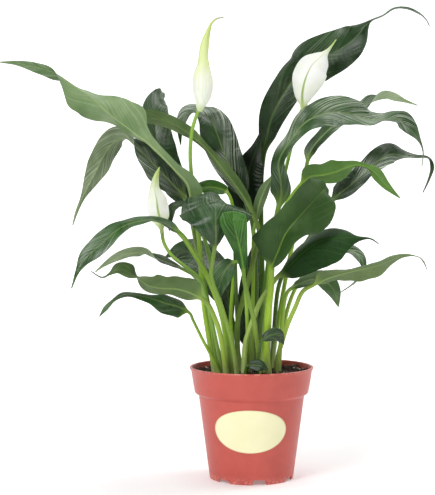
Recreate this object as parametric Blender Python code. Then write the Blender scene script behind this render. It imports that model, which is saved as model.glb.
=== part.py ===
"""A potted peace lily in a round grower pot. Metres, +Z up, origin on the pot's axis at the base.

Lengths in the tables are millimetres. +X is the plant's right, -Y its front.
"""

import bpy
import numpy as np

MM = 0.001
GAP = 0.3

# ---- the pot: a thin moulded cone with a wide rim band
POT_HEIGHT = 112.0
LIP_RADIUS = 62.0
BAND_HEIGHT = 25.5
BAND_INSET = 5.0
SHOULDER_STEP = 3.5
LIP_WIDTH = 2.2
LIP_EDGE = 0.7
LIP_DROP = 2.0
LIP_FLARE = 1.2
FOOT_EDGE = 1.0
BAND_BASE = POT_HEIGHT - BAND_HEIGHT
SHOULDER_BASE = BAND_BASE - SHOULDER_STEP
BASE_RADIUS = 42.0
SHOULDER_RADIUS = 53.0
WALL = 1.6
FLOOR = 2.0
SIDES = 48
NOTCH_HEIGHT = 4.5
NOTCH_DEPTH = 7.0
NOTCH_WIDTH = 13.0
NOTCH_CLEAR = 2.0
NOTCHES = 7
FIRST_NOTCH = -132.0

# ---- what the pot holds
SOIL_TOP = 106.0

# ---- the oval label on the front of the pot
LABEL_HALF_WIDTH = 38.0
LABEL_HALF_HEIGHT = 21.5
LABEL_CENTRE = 54.0
LABEL_TURN = -3.0
LABEL_THICK = 0.3
LABEL_COLUMNS = 20

# ---- the leaf solids
BLADE_HALF_THICK = 0.45
TIP_RADIUS = 0.35
PETIOLE_STEP = 26.0
BLADE_STEP = 13.0
SHEATH_SWELL = 1.2
FLOWER_STALK_STEP = 24.0
SPATHE_HALF_THICK = 1.2
SPATHE_STEP = 8.0
SPADIX_STEP = 5.0

LEAF_GREEN = (0.030, 0.085, 0.035)
LEAF_DARK = (0.018, 0.050, 0.026)
LEAF_BRIGHT = (0.075, 0.190, 0.035)
STEM_GREEN = (0.300, 0.480, 0.090)
SPATHE_WHITE = (0.830, 0.850, 0.720)
SPADIX_CREAM = (0.800, 0.790, 0.450)
POT_RED = (0.610, 0.130, 0.105)
SOIL_BROWN = (0.024, 0.012, 0.008)
LABEL_CREAM = (0.980, 0.960, 0.580)

# Each leaf: name, side it leans to (-1 left, 1 right), petiole radius, colour, petiole, blade.
# Petiole rows are x, y, z of the stalk's centre line, from the soil up.
# Blade rows are x, y, z of the midrib, then the turn of the upper face from the front (0 faces
# the front, 90 faces up, 180 faces the back), the half width, and how far each half folds up.
LEAVES = [
    ("leaf_left_high", -1, 2.6, LEAF_BRIGHT,
     [(-36, -8, 104), (-41, -11, 131), (-47, -16, 170), (-50, -19, 202), (-52, -20, 236)],
     [(-56, -21, 266, 140, 3, 40), (-60, -24, 282, 140, 14, 38), (-64, -28, 296, 140, 10, 37),
      (-77, -34, 310, 142, 6, 36), (-90, -38, 324, 143, 6, 36), (-103, -40, 336, 143, 8, 36),
      (-112, -41, 342, 142, 16, 37), (-121, -42, 349, 140, 24, 38), (-132, -43, 357, 144, 23, 38),
      (-143, -44, 366, 168, 20, 36), (-155, -43, 377, 212, 20, 34), (-168, -42, 386, 228, 18, 34),
      (-181, -40, 395, 250, 8.5, 30), (-194, -38, 403, 322, 7, 24), (-210, -37, 408, 335, 5.5, 20),
      (-229, -35, 412, 340, 2.5, 17), (-246, -34, 413, 330, 0.5, 15)]),
    ("leaf_left_droop", -1, 2.4, LEAF_GREEN,
     [(-27, 8, 102), (-36, 10, 135), (-44, 11, 175), (-52, 10, 215), (-59, 7, 252)],
     [(-64, 3, 276, 35, 3, 15), (-78, 1, 293, 35, 15, 15), (-96, -2, 312, 35, 19, 14),
      (-112, -6, 329, 50, 13, 14), (-124, -10, 340, 115, 12, 13), (-134, -12, 338, 142, 14, 13),
      (-144, -14, 327, 150, 13, 12), (-151, -17, 313, 155, 12, 12), (-158, -19, 299, 160, 8, 11),
      (-167, -20, 281, 160, 2.5, 11), (-173, -20, 267, 160, 1.5, 10),
      (-177, -20, 254, 160, 0.5, 10)]),
    ("leaf_left_back", -1, 2.3, LEAF_DARK,
     [(-20, 22, 100), (-27, 26, 148), (-37, 30, 198), (-48, 32, 240)],
     [(-60, 34, 259, 20, 2.5, 15), (-67, 36, 276, 20, 8, 15), (-77, 38, 292, 20, 14, 14),
      (-88, 40, 312, 18, 17, 13), (-96, 44, 334, 15, 18, 13), (-99, 50, 355, 10, 16, 12),
      (-99, 60, 375, 8, 13, 11), (-96, 72, 386, 20, 9, 11), (-93, 84, 391, 40, 5, 10),
      (-93, 94, 393, 50, 0.6, 10)]),
    ("leaf_left_ribbon", -1, 2.6, LEAF_GREEN,
     [(-9, -4, 101), (-14, -6, 129), (-14, -8, 158), (-9, -6, 178), (-2, -3, 203), (4, 1, 228),
      (8, 4, 244)],
     [(2, 4, 264, 135, 4, 15), (-10, 4, 286, 135, 7, 14), (-28, 4, 309, 135, 8, 12),
      (-46, 4, 331, 135, 4.5, 11), (-64, 4, 346, 135, 8, 10), (-84, 6, 357, 135, 9.5, 9),
      (-104, 8, 361, 135, 9.5, 8), (-125, 12, 361, 125, 7, 6), (-143, 16, 357, 110, 1, 5)]),
    ("leaf_striped_upper", -1, 2.4, LEAF_GREEN,
     [(4, 20, 100), (5, 21, 148), (5, 22, 199), (2, 22, 249)],
     [(-5, 22, 276, 10, 4, 15), (-15, 22, 300, 10, 13, 14), (-26, 22, 322, 5, 17, 14),
      (-34, 24, 344, 5, 18, 13), (-42, 28, 360, 30, 16, 12), (-54, 32, 369, 65, 14, 12),
      (-67, 36, 366, 45, 9, 11), (-72, 38, 350, 30, 4, 11), (-72, 38, 335, 40, 0.6, 10)]),
    ("leaf_left_mid", -1, 2.8, LEAF_GREEN,
     [(-20, -14, 105), (-24, -18, 132), (-30, -24, 166), (-39, -30, 193), (-48, -38, 212),
      (-57, -47, 228)],
     [(-68, -56, 245, 65, 5, 10), (-80, -59, 254, 65, 10, 10), (-94, -63, 260, 70, 7, 10),
      (-108, -66, 259, 60, 7, 10), (-120, -69, 256, 45, 7, 10), (-132, -72, 249, 35, 10, 10),
      (-145, -75, 237, 30, 10.5, 10), (-158, -77, 225, 30, 8.5, 10), (-166, -79, 212, 40, 3, 10),
      (-172, -80, 196, 50, 0.6, 10)]),
    ("leaf_umbrella", -1, 2.2, LEAF_GREEN,
     [(-14, -20, 105), (-20, -28, 138), (-30, -38, 174), (-40, -48, 203), (-39, -52, 219)],
     [(-37, -56, 232, 30, 3, -10), (-36, -60, 242, 25, 9, -14), (-36, -63, 252, 15, 20, -18),
      (-36, -63, 261, 5, 31, -22), (-36, -59, 269, 0, 36, -22), (-36, -54, 275, 0, 38, -22),
      (-36, -49, 278, 0, 34, -22), (-35, -45, 281, 0, 24, -20), (-34, -41, 283, 0, 12, -16),
      (-33, -38, 284, 0, 1, -10)]),
    ("leaf_left_fold", -1, 2.0, LEAF_DARK,
     [(-12, 8, 102), (-14, 4, 150), (-16, -4, 200), (-17, -10, 236), (-20, -14, 252)],
     [(-30, -20, 263, 60, 5, 10), (-43, -27, 267, 55, 6, 10), (-56, -31, 271, 60, 6, 10),
      (-69, -32, 275, 60, 6, 10), (-77, -35, 272, 40, 6, 10), (-80, -36, 265, 30, 5, 10),
      (-81, -36, 257, 30, 3, 10), (-81, -36, 249, 40, 0.6, 10)]),
    ("leaf_left_shade", -1, 2.2, LEAF_DARK,
     [(-12, 26, 100), (-14, 34, 128), (-18, 40, 152)],
     [(-22, 44, 166, 20, 6, 10), (-29, 49, 182, 20, 15, 10), (-38, 55, 198, 20, 19, 10),
      (-48, 63, 211, 20, 20, 10), (-60, 73, 221, 20, 18, 10), (-75, 86, 224, 20, 9, 10),
      (-90, 100, 217, 30, 1, 10)]),
    ("leaf_left_small", -1, 2.0, LEAF_BRIGHT,
     [(-34, 3, 103), (-38, 1, 135), (-43, -2, 165), (-49, -6, 193), (-56, -12, 203)],
     [(-67, -18, 210, 70, 4, 10), (-82, -25, 217, 70, 8, 10), (-96, -32, 223, 75, 7, 10),
      (-107, -38, 228, 140, 6, 10), (-119, -42, 228, 150, 5.5, 10), (-131, -46, 224, 150, 5, 10),
      (-143, -50, 217, 140, 2.5, 10), (-152, -52, 210, 130, 0.6, 10)]),
    ("leaf_left_low", -1, 2.6, LEAF_BRIGHT,
     [(-25, -20, 105), (-29, -28, 133), (-33, -36, 153), (-38, -42, 167), (-42, -46, 176)],
     [(-48, -50, 183, 140, 8, 10), (-60, -53, 190, 137, 15, 10), (-73, -56, 194, 132, 16, 11),
      (-87, -60, 195, 132, 16, 12), (-100, -64, 198, 128, 15, 12), (-110, -67, 205, 100, 13, 12),
      (-119, -70, 211, 55, 10, 13), (-128, -71, 213, 50, 8, 14), (-136, -72, 209, 60, 3, 14),
      (-144, -74, 206, 60, 1.2, 14), (-154, -76, 212, 60, 0.5, 15)]),
    ("leaf_left_lowest", -1, 1.6, LEAF_DARK,
     [(-31, -13, 105), (-38, -16, 120), (-49, -20, 141), (-58, -24, 160)],
     [(-62, -25, 168, 45, 8, -15), (-73, -27, 174, 45, 12, -13), (-86, -30, 178, 45, 12, -11),
      (-100, -33, 183, 55, 7, -9), (-116, -36, 187, 60, 5, -8), (-126, -38, 187, 60, 5, -6),
      (-135, -40, 182, 50, 2.5, -4), (-143, -42, 174, 40, 3, -2), (-149, -44, 166, 50, 0.6, 0)]),
    ("leaf_hanging_small", -1, 1.7, LEAF_GREEN,
     [(-2, -10, 104), (-4, -16, 142), (-6, -23, 180), (-8, -29, 204), (-11, -33, 216)],
     [(-17, -36, 219, 20, 4, 5), (-24, -37, 214, 10, 9, 5), (-29, -37, 206, 10, 10, 5),
      (-32, -37, 195, 15, 7, 5), (-33, -37, 182, 20, 0.8, 5)]),
    ("leaf_striped_stub", -1, 1.8, LEAF_BRIGHT,
     [(-16, -6, 102), (-19, -8, 136), (-21, -5, 157), (-20, 0, 178), (-18, 3, 200), (-16, 1, 226),
      (-16, -4, 245), (-19, -8, 272)],
     [(-24, -8, 286, 0, 4, 5), (-34, -6, 291, 0, 6.5, 5), (-44, -5, 292, 0, 7, 5),
      (-54, -4, 291, 0, 4, 5), (-62, -4, 287, 0, 0.6, 5)]),
    ("leaf_centre_green", -1, 2.3, LEAF_BRIGHT,
     [(9, -13, 102), (6, -23, 129), (4, -29, 145), (1, -35, 164), (-3, -41, 179), (-8, -49, 200)],
     [(-9, -53, 209, 0, 2.5, 10), (-11, -58, 224, 0, 5, 12), (-14, -63, 238, 0, 8.5, 12),
      (-17, -66, 250, 0, 11.5, 10), (-19, -67, 259, 0, 13, 6), (-19, -66, 263, 0, 12.5, 2),
      (-19, -64, 267, 0, 10, 0), (-19, -62, 269, 0, 1, 0)]),
    ("leaf_centre_dark", 1, 2.4, LEAF_DARK,
     [(-1, 30, 99), (-3, 34, 146), (-5, 36, 198), (-6, 38, 244)],
     [(-7, 38, 261, 20, 6, 10), (-6, 38, 280, 15, 17, 10), (-4, 38, 298, 10, 18, 10),
      (0, 40, 315, 15, 14, 10), (6, 42, 332, 20, 6, 10), (11, 44, 350, 50, 0.8, 10)]),
    ("leaf_top_right", 1, 2.8, LEAF_DARK,
     [(12, 36, 99), (13, 38, 146), (12, 42, 197), (11, 48, 248), (11, 52, 295)],
     [(13, 54, 320, 0, 3, 5), (17, 54, 345, -5, 9, 5), (25, 52, 372, -5, 15, 6),
      (42, 50, 400, 0, 16.5, 6), (54, 49, 411, 2, 19, 6.5), (65, 48, 420, 5, 23.5, 7),
      (92, 46, 434, 10, 21, 7), (108, 44, 446, 15, 15, 7), (122, 43, 461, 60, 3, 8),
      (135, 41, 467, 80, 4, 8), (147, 40, 474, 70, 4, 8), (160, 40, 474, 60, 3.5, 9),
      (172, 40, 469, 60, 2.5, 9), (179, 40, 463, 60, 1.5, 10), (183, 40, 456, 60, 0.5, 10)]),
    ("leaf_arching_right", 1, 2.6, LEAF_GREEN,
     [(16, 18, 100), (18, 18, 148), (20, 16, 199), (22, 12, 244)],
     [(26, 10, 266, 25, 3, 10), (30, 8, 283, 25, 11, 10), (29, 6, 299, 25, 10, 11),
      (27, 4, 315, 30, 8, 11), (32, 2, 328, 35, 8, 11), (41, 0, 341, 35, 8, 11),
      (50, -3, 353, 25, 11, 12), (62, -5, 361, 25, 14, 12), (80, -6, 366, 25, 17.5, 12),
      (99, -6, 364, 30, 16, 13), (116, -6, 359, 45, 12, 13), (130, -6, 359, 65, 11, 13),
      (142, -6, 360, 40, 8, 14), (150, -6, 357, 20, 10, 14), (158, -6, 349, 25, 8, 14),
      (166, -6, 338, 35, 2.5, 14), (170, -6, 326, 60, 1.2, 15), (169, -6, 312, 70, 0.5, 15)]),
    ("leaf_right_behind", 1, 2.2, LEAF_GREEN,
     [(21, 26, 100), (27, 32, 147), (36, 36, 198), (46, 40, 249), (53, 42, 290)],
     [(58, 43, 316, 40, 6, 10), (62, 44, 329, 40, 8, 10), (71, 46, 341, 40, 8, 10),
      (86, 48, 355, 40, 8, 10), (102, 50, 365, 40, 8, 12), (116, 50, 374, 45, 7.5, 20),
      (126, 50, 380, 65, 9, 34), (137, 50, 383, 105, 9.5, 36), (148, 50, 383, 122, 7, 20),
      (160, 50, 380, 120, 3.5, 10), (173, 50, 376, 110, 0.5, 10)]),
    ("leaf_right_bright", 1, 2.6, LEAF_BRIGHT,
     [(10, -4, 103), (13, -4, 140), (17, -4, 190), (20, -6, 235), (28, -9, 262), (38, -9, 280)],
     [(48, -6, 293, 145, 6, 10), (58, -3, 302, 150, 12, 10), (71, -1, 304, 155, 11, 10),
      (84, 0, 307, 155, 13, 10), (94, -2, 311, 145, 9, 10), (103, -4, 314, 125, 6, 10),
      (114, -6, 312, 120, 4, 10), (123, -9, 305, 145, 6.5, 10), (131, -12, 295, 150, 5, 10),
      (138, -14, 288, 150, 3, 10), (146, -16, 281, 150, 0.6, 10)]),
    ("leaf_far_right", 1, 2.2, LEAF_GREEN,
     [(20, 6, 102), (23, 8, 149), (27, 10, 189), (36, 12, 211), (49, 14, 227), (59, 16, 241),
      (69, 18, 258)],
     [(79, 19, 275, 45, 4, 10), (90, 19, 285, 45, 11, 10), (105, 20, 297, 50, 14, 10),
      (118, 20, 309, 50, 14, 10), (130, 20, 319, 45, 14, 10), (141, 20, 325, 45, 15, 10),
      (153, 20, 324, 55, 10, 10), (167, 20, 322, 65, 5, 10), (179, 20, 321, 70, 4, 10),
      (183, 20, 312, 40, 3, 10), (180, 20, 300, 40, 2, 10), (174, 20, 286, 40, 0.5, 10)]),
    ("leaf_right_centre", 1, 3.4, LEAF_GREEN,
     [(16, -18, 105), (14, -22, 137), (16, -30, 172), (18, -38, 195)],
     [(18, -44, 210, 45, 4, 38), (21, -48, 221, 46, 16, 34), (25, -51, 231, 44, 28, 33),
      (30, -53, 244, 35, 23, 30), (37, -54, 255, 8, 20, 30), (46, -53, 265, -15, 25, 26),
      (55, -51, 275, -18, 27, 24), (63, -46, 283, -14, 22, 18), (69, -38, 289, 0, 12, 10),
      (74, -28, 290, 20, 2, 0)]),
    ("leaf_right_dark", 1, 2.6, LEAF_DARK,
     [(-8, -22, 103), (-7, -20, 134), (-3, -22, 150), (3, -24, 167), (8, -25, 179), (15, -26, 190)],
     [(24, -30, 203, 40, 5, -38), (36, -34, 215, 40, 15, -36), (47, -37, 226, 40, 22, -34),
      (60, -41, 236, 40, 25, -32), (72, -45, 241, 40, 24, -30), (86, -49, 243, 40, 20, -28),
      (99, -52, 243, 45, 6, -26), (110, -54, 243, 60, 1.8, -24), (116, -54, 241, 60, 1.2, -22),
      (121, -54, 237, 60, 0.5, -20)]),
    ("leaf_right_low", 1, 2.4, LEAF_BRIGHT,
     [(24, -6, 103), (26, -12, 123), (30, -17, 139), (35, -22, 156), (42, -26, 173), (49, -30, 189)],
     [(59, -33, 196, 125, 10, 15), (73, -36, 203, 120, 15, 5), (88, -40, 208, 120, 16, -8),
      (103, -44, 212, 120, 16, -18), (119, -48, 216, 122, 16, -18), (133, -52, 222, 115, 11, 1),
      (145, -54, 226, 110, 6, -2), (158, -56, 225, 90, 3, -4), (164, -56, 220, 70, 2, -7),
      (167, -56, 213, 70, 0.6, -10)]),
    ("leaf_right_hanging", 1, 2.2, LEAF_GREEN,
     [(27, 6, 102), (29, 6, 129), (31, 4, 159), (34, 4, 181)],
     [(40, 4, 190, 60, 5, 5), (54, 2, 197, 60, 10, 5), (68, 0, 200, 50, 11, 5),
      (77, -2, 195, 30, 10, 5), (83, -2, 186, 20, 7, 5), (87, -2, 172, 20, 0.8, 5)]),
    ("leaf_right_shade", 1, 2.0, LEAF_DARK,
     [(24, 16, 101), (31, 20, 138), (39, 24, 173), (51, 28, 198), (66, 30, 214)],
     [(76, 31, 221, 60, 4, 10), (91, 32, 227, 60, 9, 10), (103, 32, 227, 45, 7, 10),
      (112, 32, 220, 30, 6, 10), (115, 32, 209, 30, 3, 10), (107, 32, 195, 50, 2, 10),
      (91, 32, 183, 60, 0.6, 10)]),
    ("leaf_centre_shade", 1, 2.0, LEAF_DARK,
     [(-5, 45, 95), (-5, 48, 106), (-4, 50, 114)],
     [(-3, 52, 120, 10, 4, 10), (-2, 54, 132, 10, 9, 10), (-1, 56, 148, 10, 12, 10),
      (0, 58, 169, 10, 13, 10), (2, 60, 190, 10, 13, 10), (4, 63, 209, 10, 10, 10),
      (6, 66, 227, 10, 5, 10), (7, 68, 241, 10, 0.8, 10)]),
    ("leaf_low_shade", -1, 1.8, LEAF_DARK,
     [(-20, 31, 102), (-21, 33, 120), (-22, 34, 138)],
     [(-22, 34, 148, 0, 2.5, 10), (-22, 35, 163, 0, 5, 10), (-23, 36, 181, 0, 6.5, 10),
      (-24, 38, 199, 0, 5, 10), (-24, 40, 212, 0, 0.8, 10)]),
    ("leaf_low_right", 1, 1.6, LEAF_DARK,
     [(5, -26, 106), (5, -32, 122), (7, -36, 134)],
     [(9, -38, 142, 30, 3, 5), (17, -38, 147, 20, 6, 5), (25, -36, 147, 20, 6.5, 5),
      (31, -32, 138, 30, 0.8, 5)]),
    ("leaf_low_front", 1, 1.5, LEAF_DARK,
     [(-8, -32, 107), (-6, -35, 114)],
     [(-4, -36, 117, 20, 3, 5), (3, -38, 118, 20, 5.5, 5), (9, -40, 117, 20, 5, 5),
      (15, -40, 114, 30, 0.8, 5)]),
    ("leaf_young_centre", 1, 1.8, LEAF_BRIGHT,
     [(0, 12, 101), (1, 12, 149), (2, 12, 199), (2, 12, 240)],
     [(4, 12, 256, 150, 3, 5), (8, 12, 275, 150, 6.5, 5), (14, 13, 290, 150, 6, 5),
      (22, 14, 304, 150, 0.8, 5)]),
]

# Each flower stalk: name, radius, centre line from the soil to the foot of the spathe.
FLOWER_STALKS = [
    ("flower_tall_stalk", 2.0,
     [(-17, -2, 103), (-25, -4, 150), (-37, -8, 200), (-49, -12, 250), (-58, -14, 290),
      (-61, -15, 320), (-60, -15, 342), (-57, -15, 356), (-51, -15, 369)]),
    ("flower_open_stalk", 2.0,
     [(9, 26, 98), (10, 26, 146), (15, 25, 198), (23, 24, 250), (33, 22, 300), (44, 22, 346),
      (51, 22, 368)]),
    ("flower_left_stalk", 1.9,
     [(-29, -3, 103), (-36, -16, 141), (-45, -26, 181), (-52, -34, 202), (-65, -40, 214),
      (-78, -44, 225), (-86, -46, 238), (-88, -46, 248)]),
]

# The rolled spathe: rows of x, y, z of its middle and its radius.
ROLLED_SPATHE = [
    (-51, -15, 370, 2.2), (-50, -15, 377, 6), (-49, -15, 387, 9.5), (-48, -15, 396, 10),
    (-49, -15, 405, 7.5), (-49, -15, 418, 5), (-47, -15, 430, 4.3), (-45, -15, 439, 3),
    (-42, -14, 448, 1.8), (-40, -13, 453, 1.2), (-35, -12, 457, 0.9), (-28, -11, 459, 0.5),
]

# Each open spathe: name, side, and rows like a blade's; the inner face looks to the back.
OPEN_SPATHES = [
    ("flower_open_spathe", 1,
     [(52, 22, 369, 215, 2, 20), (52, 22, 374, 212, 5, 20), (52, 21, 387, 208, 13, 20),
      (55, 20, 401, 205, 18.5, 20), (61, 21, 414, 203, 18.5, 20), (69, 23, 422, 203, 12.5, 20),
      (74, 23.5, 427, 205, 4.5, 20), (79, 24, 432, 208, 1.8, 20), (86, 25, 441, 210, 0.5, 20)]),
    ("flower_left_spathe", -1,
     [(-88, -46, 249, 180, 2, 20), (-89, -47, 256, 180, 6, 20), (-90, -48, 262, 180, 10, 22),
      (-92, -48, 271, 180, 11.5, 24), (-93, -48, 280, 180, 10.5, 26), (-95, -48, 290, 180, 6, 30),
      (-94, -48, 299, 180, 4, 35), (-92, -48, 306, 180, 2.2, 38), (-90, -48, 311, 180, 0.6, 40)]),
]

# Each spadix: name, radius, centre line.
SPADICES = [
    ("flower_open_spadix", 3.6, [(54, 29, 376), (56, 32, 386), (58, 34, 396), (60, 35, 406)]),
    ("flower_left_spadix", 3.0, [(-90, -39, 258), (-91, -38, 266), (-92, -38, 274), (-93, -38, 282)]),
]


def clear_scene():
    """Removes every object of the start-up scene."""
    for old in list(bpy.data.objects):
        bpy.data.objects.remove(old, do_unlink=True)


def finish_of(name, colour, roughness):
    """A Principled material of one colour for one sub-part."""
    material = bpy.data.materials.new(name + "_finish")
    material.use_nodes = True
    shader = material.node_tree.nodes["Principled BSDF"]
    shader.inputs["Base Color"].default_value = (*colour, 1.0)
    shader.inputs["Roughness"].default_value = roughness
    shader.inputs["Metallic"].default_value = 0.0
    return material


def solid(name, points, faces, colour, roughness, smooth=True):
    """Makes one named object from points in millimetres and faces turned outward."""
    mesh = bpy.data.meshes.new(name)
    mesh.from_pydata((np.asarray(points) * MM).tolist(), [], faces)
    mesh.update()
    for polygon in mesh.polygons:
        polygon.use_smooth = smooth
    mesh.materials.append(finish_of(name, colour, roughness))
    made = bpy.data.objects.new(name, mesh)
    bpy.context.scene.collection.objects.link(made)
    return made


def spline(rows, steps=24):
    """A Catmull-Rom curve through the rows; every column is carried along it."""
    rows = np.array(rows, float)
    padded = np.vstack([2 * rows[0] - rows[1], rows, 2 * rows[-1] - rows[-2]])
    t = np.linspace(0.0, 1.0, steps, endpoint=False)[:, None]
    pieces = []
    for a, b, c, d in zip(padded, padded[1:], padded[2:], padded[3:]):
        bend = (2 * a - 5 * b + 4 * c - d) * t**2 + (-a + 3 * b - 3 * c + d) * t**3
        pieces.append(0.5 * (2 * b + (c - a) * t + bend))
    return np.vstack(pieces + [rows[-1:]])


def spaced(curve, step, least):
    """The curve's rows taken again at even distances of about one step."""
    lengths = np.linalg.norm(np.diff(curve[:, :3], axis=0), axis=1)
    along = np.concatenate([[0.0], np.cumsum(lengths)])
    count = max(least, int(round(along[-1] / step))) + 1
    wanted = np.linspace(0.0, along[-1], count)
    return np.stack([np.interp(wanted, along, column) for column in curve.T], axis=1)


def unit(vectors):
    return vectors / np.linalg.norm(vectors, axis=-1, keepdims=True)


def frames(points, turn, side):
    """Upper-face normals and across directions of a blade along its midrib."""
    along = unit(np.gradient(points, axis=0))
    front = np.array([0.0, -1.0, 0.0])
    facing = unit(front - (along @ front)[:, None] * along)
    upward = -side * np.cross(along, facing)
    angle = np.radians(turn)[:, None]
    normal = np.cos(angle) * facing + np.sin(angle) * upward
    across = np.cos(angle) * upward - np.sin(angle) * facing
    return normal, across


def loft(rings):
    """Faces of a closed tube through rings of equal count, with a flat cap at each end.

    The second half of the ring is cut into triangles as the mirror image of the first, so that the
    two sides of a thin twisted blade stay parallel.
    """
    count, ring = rings.shape[:2]
    points = rings.reshape(-1, 3)
    faces = []
    for i in range(count - 1):
        for k in range(ring):
            after = (k + 1) % ring
            a, b = i * ring + k, i * ring + after
            c, d = (i + 1) * ring + after, (i + 1) * ring + k
            faces += [(a, b, c), (a, c, d)] if k < ring // 2 else [(a, b, d), (b, c, d)]
    faces.append(tuple(reversed(range(ring))))
    faces.append(tuple(range((count - 1) * ring, count * ring)))
    volume = 0.0
    for face in faces:
        for second, third in zip(face[1:], face[2:]):
            volume += np.dot(points[face[0]], np.cross(points[second], points[third]))
    if volume < 0:
        faces = [tuple(reversed(face)) for face in faces]
    return points, faces


def tube(rows, ring=8):
    """A round tube along rows of x, y, z, radius."""
    points = rows[:, :3]
    normal, across = frames(points, np.zeros(len(rows)), 1)
    angles = np.arange(ring) * 2 * np.pi / ring
    circle = across[:, None] * np.cos(angles)[:, None] + normal[:, None] * np.sin(angles)[:, None]
    return points[:, None] + circle * rows[:, 3, None, None]


def blade_rings(rows, side, roundness, thick):
    """Rings of eight points round a leaf: round where it is a stalk, flat and folded where a blade.

    Rows are x, y, z, turn, half width, fold; roundness is 1 on the stalk and 0 on the blade, and
    thick is the half thickness at the midrib.
    """
    points = rows[:, :3]
    normal, across = frames(points, rows[:, 3], side)
    fold = np.radians(rows[:, 5] * (1 - roundness))[:, None]
    width = rows[:, 4, None]
    right = across * np.cos(fold) + normal * np.sin(fold)
    left = -across * np.cos(fold) + normal * np.sin(fold)
    reach = width * (0.5 + 0.207 * roundness[:, None])
    rise = (BLADE_HALF_THICK * (1 - roundness) + 0.707 * rows[:, 4] * roundness)
    rise = np.minimum(rise, rows[:, 4])[:, None] * normal
    top = thick[:, None] * normal
    ring = [right * width, right * reach + rise, top, left * reach + rise,
            left * width, left * reach - rise, -top, right * reach - rise]
    return points[:, None] + np.stack(ring, axis=1)


def make_leaf(name, side, radius, colour, petiole, blade):
    """One leaf as it grew: its stalk and its blade in one closed skin."""
    first = blade[0]
    stalk = [(x, y, z, first[3], radius, first[5]) for x, y, z in petiole]
    stalk[0] = (*stalk[0][:2], SOIL_TOP + GAP, *stalk[0][3:])
    curve = spline(stalk + list(blade))
    split = 24 * len(petiole)
    low = spaced(curve[: split + 1], PETIOLE_STEP, 3)
    high = spaced(curve[split:], BLADE_STEP, 4)
    rows = np.vstack([low, high[1:]])
    low_count = len(low)
    roundness = np.where(np.arange(len(rows)) < low_count - 1, 1.0, 0.0)
    roundness[low_count - 1] = 0.6
    rows[:low_count - 1, 4] = radius
    rows[0, 4] = radius * SHEATH_SWELL
    rows[:, 4] = np.maximum(rows[:, 4], TIP_RADIUS)
    share = np.clip((np.arange(len(rows)) - low_count + 1) / (len(rows) - low_count), 0.0, 1.0)
    thick = np.minimum(radius * (1 - 0.8 * share), np.maximum(rows[:, 4], TIP_RADIUS))
    rings = blade_rings(rows, side, roundness, thick)
    rings[0, :, 2] = SOIL_TOP + GAP
    points, faces = loft(rings)
    solid(name, points, faces, colour, 0.42)


def make_stalk(name, radius, line):
    """A flower stalk, flat at the soil and at the spathe."""
    rows = [(x, y, z, radius) for x, y, z in line]
    rows[0] = (*rows[0][:2], SOIL_TOP + GAP, radius)
    rings = tube(spaced(spline(rows), FLOWER_STALK_STEP, 6), ring=6)
    rings[0, :, 2] = SOIL_TOP + GAP
    points, faces = loft(rings)
    solid(name, points, faces, STEM_GREEN, 0.45)


def make_rolled_spathe(name, rows):
    """A spathe still rolled round its spadix: a spindle with a long curled tip."""
    points, faces = loft(tube(spaced(spline(rows), SPATHE_STEP, 10)))
    solid(name, points, faces, SPATHE_WHITE, 0.5)


def make_open_spathe(name, side, rows):
    """An open spathe: a cupped blade with nothing round but its foot."""
    rows = spaced(spline(rows), SPATHE_STEP, 8)
    rows[:, 4] = np.maximum(rows[:, 4], TIP_RADIUS)
    thick = np.minimum(SPATHE_HALF_THICK, rows[:, 4])
    roundness = np.zeros(len(rows))
    roundness[0] = 1.0
    points, faces = loft(blade_rings(rows, side, roundness, thick))
    solid(name, points, faces, SPATHE_WHITE, 0.5)


def make_spadix(name, radius, line):
    """The finger of tiny flowers inside an open spathe, round at both ends."""
    rows = spaced(spline([(x, y, z, radius) for x, y, z in line]), SPADIX_STEP, 6)
    rows[:, 3] *= np.array([0.55] + [1.0] * (len(rows) - 3) + [0.85, 0.4])
    points, faces = loft(tube(rows))
    solid(name, points, faces, SPADIX_CREAM, 0.6)


def wall_radius(height):
    """Outer radius of the pot's plain cone at a height."""
    return BASE_RADIUS + (SHOULDER_RADIUS - BASE_RADIUS) * height / SHOULDER_BASE


def revolve(profile, sides):
    """Rings of a profile of radius and height turned about Z; an end on the axis closes in a fan."""
    angles = np.arange(sides) * 2 * np.pi / sides
    points = []
    faces = []
    starts = []
    for radius, height in profile:
        starts.append(len(points))
        if radius == 0:
            points.append((0.0, 0.0, height))
        else:
            points += [(radius * np.cos(a), radius * np.sin(a), height) for a in angles]
    for i in range(len(profile) - 1):
        for k in range(sides):
            after = (k + 1) % sides
            if profile[i][0] == 0:
                faces.append((starts[i], starts[i + 1] + after, starts[i + 1] + k))
            elif profile[i + 1][0] == 0:
                faces.append((starts[i] + k, starts[i] + after, starts[i + 1]))
            else:
                faces.append((starts[i] + k, starts[i] + after,
                              starts[i + 1] + after, starts[i + 1] + k))
    return points, faces


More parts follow.
